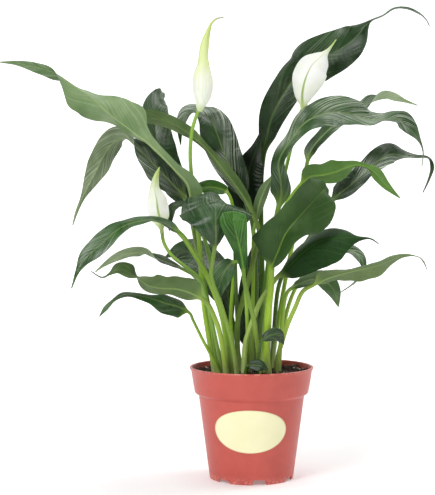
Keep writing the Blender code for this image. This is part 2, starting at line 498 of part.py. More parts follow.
def notch_cutter():
    """Blocks that cut the drain notches through the foot of the wall and into the floor."""
    points = []
    faces = []
    for i in range(NOTCHES):
        angle = np.radians(FIRST_NOTCH + i * 360 / NOTCHES)
        out = np.array([np.cos(angle), np.sin(angle), 0.0])
        along = np.array([-np.sin(angle), np.cos(angle), 0.0])
        start = len(points)
        for height in (-1.0, NOTCH_HEIGHT):
            for reach, offset in ((-1, -1), (1, -1), (1, 1), (-1, 1)):
                half = NOTCH_DEPTH / 2 + NOTCH_CLEAR
                middle = out * (BASE_RADIUS - NOTCH_DEPTH / 2 + NOTCH_CLEAR + reach * half)
                corner = middle + along * offset * NOTCH_WIDTH / 2
                points.append((corner[0], corner[1], height))
        faces.append((start + 3, start + 2, start + 1, start))
        faces.append((start + 4, start + 5, start + 6, start + 7))
        for k in range(4):
            after = (k + 1) % 4
            faces.append((start + k, start + after, start + 4 + after, start + 4 + k))
    cutter = solid("notch_cutter", points, faces, POT_RED, 0.4, smooth=False)
    cutter.hide_render = True
    cutter.display_type = "WIRE"
    return cutter


def make_pot():
    """The pot: cone, shoulder, rim band and rolled lip outside; the same shape less the wall inside."""
    outer = [
        (0.0, 0.0),
        (BASE_RADIUS - FOOT_EDGE, 0.0),
        (wall_radius(FOOT_EDGE), FOOT_EDGE),
        (SHOULDER_RADIUS, SHOULDER_BASE),
        (LIP_RADIUS - BAND_INSET, BAND_BASE),
        (LIP_RADIUS - LIP_FLARE, POT_HEIGHT - LIP_DROP - FOOT_EDGE),
        (LIP_RADIUS, POT_HEIGHT - LIP_DROP),
        (LIP_RADIUS, POT_HEIGHT - LIP_EDGE),
        (LIP_RADIUS - LIP_EDGE, POT_HEIGHT),
    ]
    inner = [
        (LIP_RADIUS - LIP_WIDTH, POT_HEIGHT),
        (LIP_RADIUS - LIP_WIDTH - LIP_EDGE, POT_HEIGHT - LIP_EDGE),
        (LIP_RADIUS - BAND_INSET - WALL, BAND_BASE),
        (SHOULDER_RADIUS - WALL, SHOULDER_BASE),
        (wall_radius(FLOOR) - WALL, FLOOR),
        (0.0, FLOOR),
    ]
    points, faces = revolve(outer + inner, SIDES)
    pot = solid("grower_pot", points, faces, POT_RED, 0.38)
    cut = pot.modifiers.new("drain_notches", "BOOLEAN")
    cut.operation = "DIFFERENCE"
    cut.solver = "EXACT"
    cut.object = notch_cutter()


def make_soil():
    """The block of potting mix that fills the pot to just under the lip."""
    foot = FLOOR + GAP
    slope = (BAND_INSET + WALL - LIP_WIDTH - LIP_EDGE) / (BAND_HEIGHT - LIP_EDGE)
    rim = LIP_RADIUS - BAND_INSET - WALL + slope * (SOIL_TOP - BAND_BASE)
    profile = [
        (0.0, foot),
        (wall_radius(foot) - WALL - 2 * GAP, foot),
        (SHOULDER_RADIUS - WALL - 2 * GAP, SHOULDER_BASE),
        (LIP_RADIUS - BAND_INSET - WALL - 2 * GAP, BAND_BASE + GAP),
        (rim - 2 * GAP, SOIL_TOP),
        (0.0, SOIL_TOP),
    ]
    points, faces = revolve(profile, SIDES // 2)
    solid("potting_mix", points, faces, SOIL_BROWN, 0.95)


def make_label():
    """A bare oval label that follows the cone of the pot."""
    share = np.linspace(-1.0, 1.0, LABEL_COLUMNS + 1)[1:-1]
    half_turn = LABEL_HALF_WIDTH / wall_radius(LABEL_CENTRE)
    rings = []
    for s in share:
        reach = LABEL_HALF_HEIGHT * np.sqrt(1 - s * s)
        angle = np.radians(-90 + LABEL_TURN) + s * half_turn
        corners = []
        for lift, height in ((0, -1), (0, 1), (1, 1), (1, -1)):
            z = LABEL_CENTRE + height * reach
            radius = wall_radius(z) + GAP + lift * LABEL_THICK
            corners.append((radius * np.cos(angle), radius * np.sin(angle), z))
        rings.append(corners)
    points, faces = loft(np.array(rings))
    solid("blank_label", points, faces, LABEL_CREAM, 0.35)


def main():
    clear_scene()
    make_pot()
    make_soil()
    make_label()
    for leaf in LEAVES:
        make_leaf(*leaf)
    for stalk in FLOWER_STALKS:
        make_stalk(*stalk)
    make_rolled_spathe("flower_tall_spathe", ROLLED_SPATHE)
    for spathe in OPEN_SPATHES:
        make_open_spathe(*spathe)
    for spadix in SPADICES:
        make_spadix(*spadix)


main()
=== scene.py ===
"""A potted peace lily: living leaves, flowers, potting mix and pot built round its fixed frame.

Lengths in the tables and in the surface functions are millimetres, turned to metres where a mesh is
made. +Z is up, +X is the plant's right and -Y its front. Angles in the tables are degrees.
"""

import bpy
import numpy as np
from bpy.props import FloatProperty, FloatVectorProperty, IntProperty, PointerProperty
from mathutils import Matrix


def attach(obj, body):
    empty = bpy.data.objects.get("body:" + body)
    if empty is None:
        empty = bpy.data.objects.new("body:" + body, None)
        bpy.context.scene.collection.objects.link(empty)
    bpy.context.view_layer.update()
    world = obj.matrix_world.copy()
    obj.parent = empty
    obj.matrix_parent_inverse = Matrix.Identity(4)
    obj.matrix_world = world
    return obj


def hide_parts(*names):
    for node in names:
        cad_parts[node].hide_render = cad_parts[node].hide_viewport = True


bl_info = {
    "name": "Potted peace lily",
    "version": (1, 0, 0),
    "blender": (4, 5, 0),
    "location": "View3D > Sidebar > Lily",
    "description": "Builds the leaves, flowers, potting mix and pot of a peace lily, and its stage",
    "category": "Object",
}

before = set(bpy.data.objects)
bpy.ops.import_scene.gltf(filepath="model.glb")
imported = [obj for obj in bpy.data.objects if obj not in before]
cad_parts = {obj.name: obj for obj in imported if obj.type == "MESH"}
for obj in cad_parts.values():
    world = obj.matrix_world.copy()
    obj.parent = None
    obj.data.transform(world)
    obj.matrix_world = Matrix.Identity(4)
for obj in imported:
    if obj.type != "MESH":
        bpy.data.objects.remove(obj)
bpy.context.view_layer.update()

# Metres in a millimetre, then millimetres in a metre and in a centimetre.
MM = 0.001
METRE = 1000.0
CM = 10.0
BODY = "root"

# ---- the pot, as moulded
FOOT_RADIUS = 42.0
SHOULDER_RADIUS = 53.0
SHOULDER_HEIGHT = 83.0
NOTCHES = 7
FIRST_NOTCH = -132.0
NOTCH_HALF_ANGLE = 9.0
NOTCH_EDGE = 1.2
NOTCH_DEEP = 5.0
POT_COLUMNS = 336

# ---- the oval label
LABEL_HALF_WIDTH = 38.0
LABEL_HALF_HEIGHT = 21.5
LABEL_CENTRE = 54.0
LABEL_TURN = -3.0
LABEL_COLUMNS = 144

# ---- the potting mix
SOIL_TOP = 106.0
STALK_START = 102.0
SOIL_RADIUS = 58.4
SCATTER_RADIUS = 56.0
SOIL_COLUMNS = 260

# ---- the stalks, 0.3 wider at the soil and easing over this height, and the rolled spathe
FOOT_SPREAD = 14.0
WOUND_FROM, WOUND_TO = -0.62, 0.72
SPADIX_COLUMNS = 96

# ---- how finely a leaf is drawn
SPAN_STEPS = 24
STALK_STATIONS = 44
FINEST_HALF_WIDTH = 0.35

# ---- the studio sweep: its flat floor, its curve, its height and its half width
SWEEP_FLAT = 1500.0
SWEEP_CURVE = 1100.0
SWEEP_TOP = 3800.0
SWEEP_HALF_WIDTH = 2800.0

# Leaf tones: upper dark, upper light, side veins (a pale colour painted along them as highlight streaks,
# standing for the wax's reflections), strength of the side veins' painted streaks, lower dark, lower light,
# midrib, stalk, roughness of the upper face, and specular level.
TONES = {
    # deep: a darker copy for leaves that lie in shade, their darkness painted shade.
    "deep": ("#182b12", "#294a22", "#9aac8c", 0.40, "#293c21", "#38502d", "#5f8038", "#55752c", 0.30, 0.40),
    # A near-black copy for the leaf deep in the plant's middle: painted shade.
    "shaded_black": ("#0b1709", "#162810", "#4a5e42", 0.25, "#1c2e15", "#283e1f", "#3f6024", "#46662a", 0.34, 0.25),
    "ink": ("#1c3716", "#284a1f", "#46683a", 0.30, "#213a1a", "#2c4a22", "#406a26", "#a9c268", 0.46, 0.10),
    "green": ("#1e4018", "#3e6a2c", "#b0bfa2", 0.55, "#4a6634", "#64804a", "#84a054", "#9cc43c", 0.30, 0.42),
    "sheen": ("#193614", "#33582a", "#a2b296", 0.36, "#3d5a2c", "#52703a", "#7a964c", "#8cae3e", 0.27, 0.42),
    "striped": ("#13280f", "#2e4c24", "#dfe7d6", 0.95, "#3e5a30", "#6a8652", "#7a964c", "#5d7d30", 0.28, 0.42),
    "grey": ("#203e18", "#466638", "#d2dcc8", 0.85, "#4a6836", "#6c8856", "#8aa45c", "#8cae3c", 0.30, 0.42),
    "olive": ("#324c1e", "#4a6630", "#8fa474", 0.35, "#48622e", "#647d46", "#7a9546", "#7a963c", 0.36, 0.42),
    "twofold": ("#152810", "#28481f", "#d0dbc4", 0.80, "#5a6c46", "#7e9068", "#8aa25e", "#7a963c", 0.28, 0.42),
    "dusty": ("#3a5424", "#54703c", "#8fa474", 0.35, "#4c6632", "#6a824c", "#86a25a", "#a4c248", 0.38, 0.42),
    "pale": ("#3a5c2c", "#5c7c46", "#b4c6a0", 0.55, "#648050", "#849c6a", "#a6be76", "#a0c63c", 0.36, 0.42),
    "silver": ("#1f3c18", "#44683a", "#d4dec8", 0.80, "#76905e", "#a0b28a", "#a8be7c", "#9cbe3e", 0.36, 0.42),
    "fresh": ("#2a5416", "#487326", "#82a25e", 0.40, "#48702a", "#66903f", "#7ea040", "#a6d03c", 0.34, 0.42),
    # A lighter, brighter green copy for a leaf lit from behind: painted backlight.
    "backlit_green": ("#1c4610", "#3f7626", "#86ac68", 0.40, "#2c641a", "#4c8a30", "#7cae40", "#86a243", 0.36, 0.25),
    "matt": ("#2c491e", "#42602f", "#5c7a46", 0.25, "#40582c", "#52693a", "#7da03c", "#aacf40", 0.42, 0.25),
}

# Each leaf: name, side it leans to (-1 left, 1 right), stalk radius, tone, stalk, blade.
# Stalk rows are x, y, z of its centre line, from the soil up. Blade rows are x, y, z of the midrib,
# the turn of the upper face from the front (0 faces the front, 90 up, 180 the back), the half width,
# and how far each half folds up.
LEAVES = [
    ("left_high", -1, 2.6, "pale",
     [(-36, -8, 104), (-41, -11, 131), (-47, -16, 170), (-50, -19, 202), (-52, -20, 236)],
     [(-56, -21, 266, 140, 3, 40), (-60, -24, 282, 140, 14, 38), (-64, -28, 296, 140, 10, 37),
      (-77, -34, 310, 142, 6, 36), (-90, -38, 324, 143, 6, 36), (-103, -40, 336, 143, 8, 36),
      (-112, -41, 342, 142, 16, 37), (-121, -42, 349, 140, 24, 38), (-132, -43, 357, 144, 23, 38),
      (-143, -44, 366, 168, 20, 36), (-155, -43, 377, 212, 20, 34), (-168, -42, 386, 228, 18, 34),
      (-181, -40, 395, 250, 8.5, 30), (-194, -38, 403, 322, 7, 24), (-210, -37, 408, 335, 5.5, 20),
      (-229, -35, 412, 340, 2.5, 17), (-246, -34, 413, 330, 0.5, 15)]),
    ("left_droop", -1, 2.4, "twofold",
     [(-27, 8, 102), (-36, 10, 135), (-44, 11, 175), (-52, 10, 215), (-59, 7, 252)],
     [(-64, 3, 276, 35, 3, 15), (-78, 1, 293, 35, 15, 15), (-96, -2, 312, 35, 19, 14),
      (-112, -6, 329, 50, 13, 14), (-124, -10, 340, 115, 12, 13), (-134, -12, 338, 142, 14, 13),
      (-144, -14, 327, 150, 13, 12), (-151, -17, 313, 155, 12, 12), (-158, -19, 299, 160, 8, 11),
      (-167, -20, 281, 160, 2.5, 11), (-173, -20, 267, 160, 1.5, 10),
      (-177, -20, 254, 160, 0.5, 10)]),
    ("left_back", -1, 2.3, "deep",
     [(-20, 22, 100), (-27, 26, 148), (-37, 30, 198), (-48, 32, 240)],
     [(-60, 34, 259, 20, 2.5, 15), (-67, 36, 276, 20, 8, 15), (-77, 38, 292, 20, 14, 14),
      (-88, 40, 312, 18, 17, 13), (-96, 44, 334, 15, 18, 13), (-99, 50, 355, 10, 16, 12),
      (-99, 60, 375, 8, 13, 11), (-96, 72, 386, 20, 9, 11), (-93, 84, 391, 40, 5, 10),
      (-93, 94, 393, 50, 0.6, 10)]),
    ("left_ribbon", -1, 2.6, "olive",
     [(-9, -4, 101), (-14, -6, 129), (-14, -8, 158), (-9, -6, 178), (-2, -3, 203), (4, 1, 228),
      (8, 4, 244)],
     [(2, 4, 264, 135, 4, 15), (-10, 4, 286, 135, 7, 14), (-28, 4, 309, 135, 8, 12),
      (-46, 4, 331, 135, 4.5, 11), (-64, 4, 346, 135, 8, 10), (-84, 6, 357, 135, 9.5, 9),
      (-104, 8, 361, 135, 9.5, 8), (-125, 12, 361, 125, 7, 6), (-143, 16, 357, 110, 1, 5)]),
    ("striped_upper", -1, 2.4, "striped",
     [(4, 20, 100), (5, 21, 148), (5, 22, 199), (2, 22, 249)],
     [(-5, 22, 276, 10, 4, 15), (-15, 22, 300, 10, 13, 14), (-26, 22, 322, 5, 17, 14),
      (-34, 24, 344, 5, 18, 13), (-42, 28, 360, 30, 16, 12), (-54, 32, 369, 65, 14, 12),
      (-67, 36, 366, 45, 9, 11), (-72, 38, 350, 30, 4, 11), (-72, 38, 335, 40, 0.6, 10)]),
    ("left_mid", -1, 2.8, "green",
     [(-20, -14, 105), (-24, -18, 132), (-30, -24, 166), (-39, -30, 193), (-48, -38, 212),
      (-57, -47, 228)],
     [(-68, -56, 245, 65, 5, 10), (-80, -59, 254, 65, 10, 10), (-94, -63, 260, 70, 7, 10),
      (-108, -66, 259, 60, 7, 10), (-120, -69, 256, 45, 7, 10), (-132, -72, 249, 35, 10, 10),
      (-145, -75, 237, 30, 10.5, 10), (-158, -77, 225, 30, 8.5, 10), (-166, -79, 212, 40, 3, 10),
      (-172, -80, 196, 50, 0.6, 10)]),
    ("umbrella", -1, 2.2, "sheen",
     [(-14, -20, 105), (-20, -28, 138), (-30, -38, 174), (-40, -48, 203), (-39, -52, 219)],
     [(-37, -56, 232, 30, 3, -10), (-36, -60, 242, 25, 9, -14), (-36, -63, 252, 15, 20, -18),
      (-36, -63, 261, 5, 31, -22), (-36, -59, 269, 0, 36, -22), (-36, -54, 275, 0, 38, -22),
      (-36, -49, 278, 0, 34, -22), (-35, -45, 281, 0, 24, -20), (-34, -41, 283, 0, 12, -16),
      (-33, -38, 284, 0, 1, -10)]),
    ("left_fold", -1, 2.0, "deep",
     [(-12, 8, 102), (-14, 4, 150), (-16, -4, 200), (-17, -10, 236), (-20, -14, 252)],
     [(-30, -20, 263, 60, 5, 10), (-43, -27, 267, 55, 6, 10), (-56, -31, 271, 60, 6, 10),
      (-69, -32, 275, 60, 6, 10), (-77, -35, 272, 40, 6, 10), (-80, -36, 265, 30, 5, 10),
      (-81, -36, 257, 30, 3, 10), (-81, -36, 249, 40, 0.6, 10)]),
    ("left_shade", -1, 2.2, "deep",
     [(-12, 26, 100), (-14, 34, 128), (-18, 40, 152)],
     [(-22, 44, 166, 20, 6, 10), (-29, 49, 182, 20, 15, 10), (-38, 55, 198, 20, 19, 10),
      (-48, 63, 211, 20, 20, 10), (-60, 73, 221, 20, 18, 10), (-75, 86, 224, 20, 9, 10),
      (-90, 100, 217, 30, 1, 10)]),
    ("left_small", -1, 2.0, "silver",
     [(-34, 3, 103), (-38, 1, 135), (-43, -2, 165), (-49, -6, 193), (-56, -12, 203)],
     [(-67, -18, 210, 70, 4, 10), (-82, -25, 217, 70, 8, 10), (-96, -32, 223, 75, 7, 10),
      (-107, -38, 228, 140, 6, 10), (-119, -42, 228, 150, 5.5, 10), (-131, -46, 224, 150, 5, 10),
      (-143, -50, 217, 140, 2.5, 10), (-152, -52, 210, 130, 0.6, 10)]),
    ("left_low", -1, 2.6, "dusty",
     [(-25, -20, 105), (-29, -28, 133), (-33, -36, 153), (-38, -42, 167), (-42, -46, 176)],
     [(-48, -50, 183, 140, 8, 10), (-60, -53, 190, 137, 15, 10), (-73, -56, 194, 132, 16, 11),
      (-87, -60, 195, 132, 16, 12), (-100, -64, 198, 128, 15, 12), (-110, -67, 205, 100, 13, 12),
      (-119, -70, 211, 55, 10, 13), (-128, -71, 213, 50, 8, 14), (-136, -72, 209, 60, 3, 14),
      (-144, -74, 206, 60, 1.2, 14), (-154, -76, 212, 60, 0.5, 15)]),
    ("left_lowest", -1, 1.6, "green",
     [(-31, -13, 105), (-38, -16, 120), (-49, -20, 141), (-58, -24, 160)],
     [(-62, -25, 168, 45, 8, -15), (-73, -27, 174, 45, 12, -13), (-86, -30, 178, 45, 12, -11),
      (-100, -33, 183, 55, 7, -9), (-116, -36, 187, 60, 5, -8), (-126, -38, 187, 60, 5, -6),
      (-135, -40, 182, 50, 2.5, -4), (-143, -42, 174, 40, 3, -2), (-149, -44, 166, 50, 0.6, 0)]),
    ("hanging_small", -1, 1.7, "green",
     [(-2, -10, 104), (-4, -16, 142), (-6, -23, 180), (-8, -29, 204), (-11, -33, 216)],
     [(-17, -36, 219, 20, 4, 5), (-24, -37, 214, 10, 9, 5), (-29, -37, 206, 10, 10, 5),
      (-32, -37, 195, 15, 7, 5), (-33, -37, 182, 20, 0.8, 5)]),
    ("striped_stub", -1, 1.8, "fresh",
     [(-16, -6, 102), (-19, -8, 136), (-21, -5, 157), (-20, 0, 178), (-18, 3, 200), (-16, 1, 226),
      (-16, -4, 245), (-19, -8, 272)],
     [(-24, -8, 286, 0, 4, 5), (-34, -6, 291, 0, 6.5, 5), (-44, -5, 292, 0, 7, 5),
      (-54, -4, 291, 0, 4, 5), (-62, -4, 287, 0, 0.6, 5)]),
    ("centre_green", -1, 2.3, "backlit_green",
     [(9, -13, 102), (6, -23, 129), (4, -29, 145), (1, -35, 164), (-3, -41, 179), (-8, -49, 200)],
     [(-9, -53, 209, 0, 2.5, 10), (-11, -58, 224, 0, 5, 12), (-14, -63, 238, 0, 8.5, 12),
      (-17, -66, 250, 0, 11.5, 10), (-19, -67, 259, 0, 13, 6), (-19, -66, 263, 0, 12.5, 2),
      (-19, -64, 267, 0, 10, 0), (-19, -62, 269, 0, 1, 0)]),
    ("centre_dark", 1, 2.4, "shaded_black",
     [(-1, 30, 99), (-3, 34, 146), (-5, 36, 198), (-6, 38, 244)],
     [(-7, 38, 261, 20, 6, 10), (-6, 38, 280, 15, 17, 10), (-4, 38, 298, 10, 18, 10),
      (0, 40, 315, 15, 14, 10), (6, 42, 332, 20, 6, 10), (11, 44, 350, 50, 0.8, 10)]),
    ("top_right", 1, 2.8, "deep",
     [(12, 36, 99), (13, 38, 146), (12, 42, 197), (11, 48, 248), (11, 52, 295)],
     [(13, 54, 320, 0, 3, 5), (17, 54, 345, -5, 9, 5), (25, 52, 372, -5, 15, 6),
      (42, 50, 400, 0, 16.5, 6), (54, 49, 411, 2, 19, 6.5), (65, 48, 420, 5, 23.5, 7),
      (92, 46, 434, 10, 21, 7), (108, 44, 446, 15, 15, 7), (122, 43, 461, 60, 3, 8),
      (135, 41, 467, 80, 4, 8), (147, 40, 474, 70, 4, 8), (160, 40, 474, 60, 3.5, 9),
      (172, 40, 469, 60, 2.5, 9), (179, 40, 463, 60, 1.5, 10), (183, 40, 456, 60, 0.5, 10)]),
    ("arching_right", 1, 2.6, "grey",
     [(16, 18, 100), (18, 18, 148), (20, 16, 199), (22, 12, 244)],
     [(26, 10, 266, 25, 3, 10), (30, 8, 283, 25, 11, 10), (29, 6, 299, 25, 10, 11),
      (27, 4, 315, 30, 8, 11), (32, 2, 328, 35, 8, 11), (41, 0, 341, 35, 8, 11),
      (50, -3, 353, 25, 11, 12), (62, -5, 361, 25, 14, 12), (80, -6, 366, 25, 17.5, 12),
      (99, -6, 364, 30, 16, 13), (116, -6, 359, 45, 12, 13), (130, -6, 359, 65, 11, 13),
      (142, -6, 360, 40, 8, 14), (150, -6, 357, 20, 10, 14), (158, -6, 349, 25, 8, 14),
      (166, -6, 338, 35, 2.5, 14), (170, -6, 326, 60, 1.2, 15), (169, -6, 312, 70, 0.5, 15)]),
    ("right_behind", 1, 2.2, "silver",
     [(21, 26, 100), (27, 32, 147), (36, 36, 198), (46, 40, 249), (53, 42, 290)],
     [(58, 43, 316, 40, 6, 10), (62, 44, 329, 40, 8, 10), (71, 46, 341, 40, 8, 10),
      (86, 48, 355, 40, 8, 10), (102, 50, 365, 40, 8, 12), (116, 50, 374, 45, 7.5, 20),
      (126, 50, 380, 65, 9, 34), (137, 50, 383, 105, 9.5, 36), (148, 50, 383, 122, 7, 20),
      (160, 50, 380, 120, 3.5, 10), (173, 50, 376, 110, 0.5, 10)]),
    ("right_bright", 1, 2.6, "fresh",
     [(10, -4, 103), (13, -4, 140), (17, -4, 190), (20, -6, 235), (28, -9, 262), (38, -9, 280)],
     [(48, -6, 293, 145, 6, 10), (58, -3, 302, 150, 12, 10), (71, -1, 304, 155, 11, 10),
      (84, 0, 307, 155, 13, 10), (94, -2, 311, 145, 9, 10), (103, -4, 314, 125, 6, 10),
      (114, -6, 312, 120, 4, 10), (123, -9, 305, 145, 6.5, 10), (131, -12, 295, 150, 5, 10),
      (138, -14, 288, 150, 3, 10), (146, -16, 281, 150, 0.6, 10)]),
    ("far_right", 1, 2.2, "striped",
     [(20, 6, 102), (23, 8, 149), (27, 10, 189), (36, 12, 211), (49, 14, 227), (59, 16, 241),
      (69, 18, 258)],
     [(79, 19, 275, 45, 4, 10), (90, 19, 285, 45, 11, 10), (105, 20, 297, 50, 14, 10),
      (118, 20, 309, 50, 14, 10), (130, 20, 319, 45, 14, 10), (141, 20, 325, 45, 15, 10),
      (153, 20, 324, 55, 10, 10), (167, 20, 322, 65, 5, 10), (179, 20, 321, 70, 4, 10),
      (183, 20, 312, 40, 3, 10), (180, 20, 300, 40, 2, 10), (174, 20, 286, 40, 0.5, 10)]),
    ("right_centre", 1, 3.4, "matt",
     [(16, -18, 105), (14, -22, 137), (16, -30, 172), (18, -38, 195)],
     [(18, -44, 210, 45, 4, 38), (21, -48, 221, 46, 16, 34), (25, -51, 231, 44, 28, 33),
      (30, -53, 244, 35, 23, 30), (37, -54, 255, 8, 20, 30), (46, -53, 265, -15, 25, 26),
      (55, -51, 275, -18, 27, 24), (63, -46, 283, -14, 22, 18), (69, -38, 289, 0, 12, 10),
      (74, -28, 290, 20, 2, 0)]),
    ("right_dark", 1, 2.6, "ink",
     [(-8, -22, 103), (-7, -20, 134), (-3, -22, 150), (3, -24, 167), (8, -25, 179), (15, -26, 190)],
     [(24, -30, 203, 40, 5, -38), (36, -34, 215, 40, 15, -36), (47, -37, 226, 40, 22, -34),
      (60, -41, 236, 40, 25, -32), (72, -45, 241, 40, 24, -30), (86, -49, 243, 40, 20, -28),
      (99, -52, 243, 45, 6, -26), (110, -54, 243, 60, 1.8, -24), (116, -54, 241, 60, 1.2, -22),
      (121, -54, 237, 60, 0.5, -20)]),
    ("right_low", 1, 2.4, "dusty",
     [(24, -6, 103), (26, -12, 123), (30, -17, 139), (35, -22, 156), (42, -26, 173), (49, -30, 189)],
     [(59, -33, 196, 125, 10, 15), (73, -36, 203, 120, 15, 5), (88, -40, 208, 120, 16, -8),
      (103, -44, 212, 120, 16, -18), (119, -48, 216, 122, 16, -18), (133, -52, 222, 115, 11, 1),
      (145, -54, 226, 110, 6, -2), (158, -56, 225, 90, 3, -4), (164, -56, 220, 70, 2, -7),
      (167, -56, 213, 70, 0.6, -10)]),
    ("right_hanging", 1, 2.2, "pale",
     [(27, 6, 102), (29, 6, 129), (31, 4, 159), (34, 4, 181)],
     [(40, 4, 190, 60, 5, 5), (54, 2, 197, 60, 10, 5), (68, 0, 200, 50, 11, 5),
      (77, -2, 195, 30, 10, 5), (83, -2, 186, 20, 7, 5), (87, -2, 172, 20, 0.8, 5)]),
    ("right_shade", 1, 2.0, "silver",
     [(24, 16, 101), (31, 20, 138), (39, 24, 173), (51, 28, 198), (66, 30, 214)],
     [(76, 31, 221, 60, 4, 10), (91, 32, 227, 60, 9, 10), (103, 32, 227, 45, 7, 10),
      (112, 32, 220, 30, 6, 10), (115, 32, 209, 30, 3, 10), (107, 32, 195, 50, 2, 10),
      (91, 32, 183, 60, 0.6, 10)]),
    # centre_shade and low_shade are dark leaves set behind the stalks where the gaps between them lie in
    # shade: their dark tone is painted shade.
    ("centre_shade", 1, 2.0, "deep",
     [(-5, 45, 95), (-5, 48, 106), (-4, 50, 114)],
     [(-3, 52, 120, 10, 4, 10), (-2, 54, 132, 10, 9, 10), (-1, 56, 148, 10, 12, 10),
      (0, 58, 169, 10, 13, 10), (2, 60, 190, 10, 13, 10), (4, 63, 209, 10, 10, 10),
      (6, 66, 227, 10, 5, 10), (7, 68, 241, 10, 0.8, 10)]),
    ("low_shade", -1, 1.8, "deep",
     [(-20, 31, 102), (-21, 33, 120), (-22, 34, 138)],
     [(-22, 34, 148, 0, 2.5, 10), (-22, 35, 163, 0, 5, 10), (-23, 36, 181, 0, 6.5, 10),
      (-24, 38, 199, 0, 5, 10), (-24, 40, 212, 0, 0.8, 10)]),
    ("low_right", 1, 1.6, "deep",
     [(5, -26, 106), (5, -32, 122), (7, -36, 134)],
     [(9, -38, 142, 30, 3, 5), (17, -38, 147, 20, 6, 5), (25, -36, 147, 20, 6.5, 5),
      (31, -32, 138, 30, 0.8, 5)]),
    ("low_front", 1, 1.5, "deep",
     [(-8, -32, 107), (-6, -35, 114)],
     [(-4, -36, 117, 20, 3, 5), (3, -38, 118, 20, 5.5, 5), (9, -40, 117, 20, 5, 5),
      (15, -40, 114, 30, 0.8, 5)]),
    ("young_centre", 1, 1.8, "pale",
     [(0, 12, 101), (1, 12, 149), (2, 12, 199), (2, 12, 240)],
     [(4, 12, 256, 150, 3, 5), (8, 12, 275, 150, 6.5, 5), (14, 13, 290, 150, 6, 5),
      (22, 14, 304, 150, 0.8, 5)]),
]
# Each flower stalk: name, radius, centre line from the soil to the foot of the spathe.
FLOWER_STALKS = [
    ("tall", 2.0,
     [(-17, -2, 99), (-25, -4, 150), (-37, -8, 200), (-49, -12, 250), (-58, -14, 290),
      (-61, -15, 320), (-60, -15, 342), (-57, -15, 356), (-51, -15, 372)]),
    ("open", 2.0,
     [(9, 26, 99), (10, 26, 146), (15, 25, 198), (23, 24, 250), (33, 22, 300), (44, 22, 346),
      (51, 22, 370)]),
    ("left", 1.9,
     [(-29, -3, 99), (-36, -16, 141), (-45, -26, 181), (-52, -34, 202), (-65, -40, 214),
      (-78, -44, 225), (-86, -46, 238), (-88, -46, 251)]),
]

# The rolled spathe: rows of x, y, z of its middle and its radius.
ROLLED_SPATHE = [
    (-52, -15, 366, 2.2), (-51, -15, 372, 4.6), (-49, -15, 380, 8.0), (-48.5, -15, 388, 9.9),
    (-48.5, -15, 396, 10.2), (-48.5, -15, 404, 8.6), (-48, -15, 412, 6.0), (-48, -15, 420, 4.7),
    (-47, -15, 430, 4.3), (-45, -15, 439, 3.2), (-42.5, -14, 447, 1.9), (-40, -13, 453, 1.2),
    (-35, -12, 457.5, 0.9), (-28, -11, 459, 0.5),
]

# Each open spathe: name, side, and rows like a blade's; the inner face looks to the back.
OPEN_SPATHES = [
    ("open", 1,
     [(51, 22, 367, 215, 2, 20), (52, 22, 374, 212, 5, 20), (52, 21, 387, 208, 13, 20),
      (55, 20, 401, 205, 18.5, 20), (61, 21, 414, 203, 18.5, 20), (69, 23, 422, 203, 12.5, 20),
      (74, 23.5, 427, 205, 4.5, 20), (79, 24, 432, 208, 1.8, 20), (86, 25, 441, 210, 0.5, 20)]),
    ("left", -1,
     [(-88, -46, 247, 180, 2, 20), (-89, -47, 256, 180, 6, 20), (-90, -48, 262, 180, 10, 22),
      (-92, -48, 271, 180, 11.5, 24), (-93, -48, 280, 180, 10.5, 26), (-95, -48, 290, 180, 6, 30),
      (-94, -48, 299, 180, 4, 35), (-92, -48, 306, 180, 2.2, 38), (-90, -48, 311, 180, 0.6, 40)]),
]

# Each spadix: name, radius, centre line.
SPADICES = [
    ("open", 3.6, [(53, 26, 371), (54, 29, 377), (56, 32, 386), (58, 34, 396), (60, 35, 406)]),
    ("left", 3.0, [(-89, -42, 253), (-90, -39, 259), (-91, -38, 266), (-92, -38, 274), (-93, -38, 282)]),
]


# ------------------------------------------------------------------ sizes and colours to change
class LilyLeafSettings(bpy.types.PropertyGroup):
    """Sizes of the leaf blades."""

    thickness: FloatProperty(
        name="Blade thickness",
        description="Thickness of a blade between its veins",
        default=0.0005,
        min=0.0002,
        subtype="DISTANCE",
        unit="LENGTH",
    )
    vein_spacing: FloatProperty(
        name="Vein spacing",
        description="Distance between two raised side veins, along the midrib",
        default=0.0055,
        min=0.002,
        subtype="DISTANCE",
        unit="LENGTH",
    )
    vein_depth: FloatProperty(
        name="Vein depth",
        description="How far the blade rises and falls from one side vein to the next",
        default=0.00013,
        subtype="DISTANCE",
        unit="LENGTH",
    )
    margin_wave: FloatProperty(
        name="Margin wave",
        description="How far the margin waves up and down",
        default=0.0011,
        subtype="DISTANCE",
        unit="LENGTH",
    )
    stations: IntProperty(
        name="Blade stations",
        description="Rings of points along a blade",
        default=170,
        min=40,
    )
    columns: IntProperty(
        name="Blade columns",
        description="Points across each face of a blade",
        default=22,
        min=8,
    )


class LilyPotSettings(bpy.types.PropertyGroup):
    """Sizes and colours of the pot and its label."""

    wall: FloatProperty(
        name="Wall",
        description="Thickness of the moulded wall",
        default=0.0016,
        min=0.0008,
        subtype="DISTANCE",
        unit="LENGTH",
    )
    plastic: FloatVectorProperty(
        name="Plastic",
        description="Colour of the moulded plastic, linear",
        default=(0.585, 0.098, 0.074),
        size=3,
        subtype="COLOR",
    )
    label: FloatVectorProperty(
        name="Label",
        description="Colour of the label stock, linear",
        default=(0.960, 0.930, 0.600),
        size=3,
        subtype="COLOR",
    )


class LilySoilSettings(bpy.types.PropertyGroup):
    """What the potting mix holds."""

    roughness: FloatProperty(
        name="Lumps",
        description="How far the top of the potting mix rises and falls",
        default=0.0012,
        subtype="DISTANCE",
        unit="LENGTH",
    )
    perlite: IntProperty(
        name="Perlite grains",
        description="White grains on top of the potting mix",
        default=150,
        min=0,
    )
    bark: IntProperty(
        name="Bark chips",
        description="Dark chips on top of the potting mix",
        default=420,
        min=0,
    )


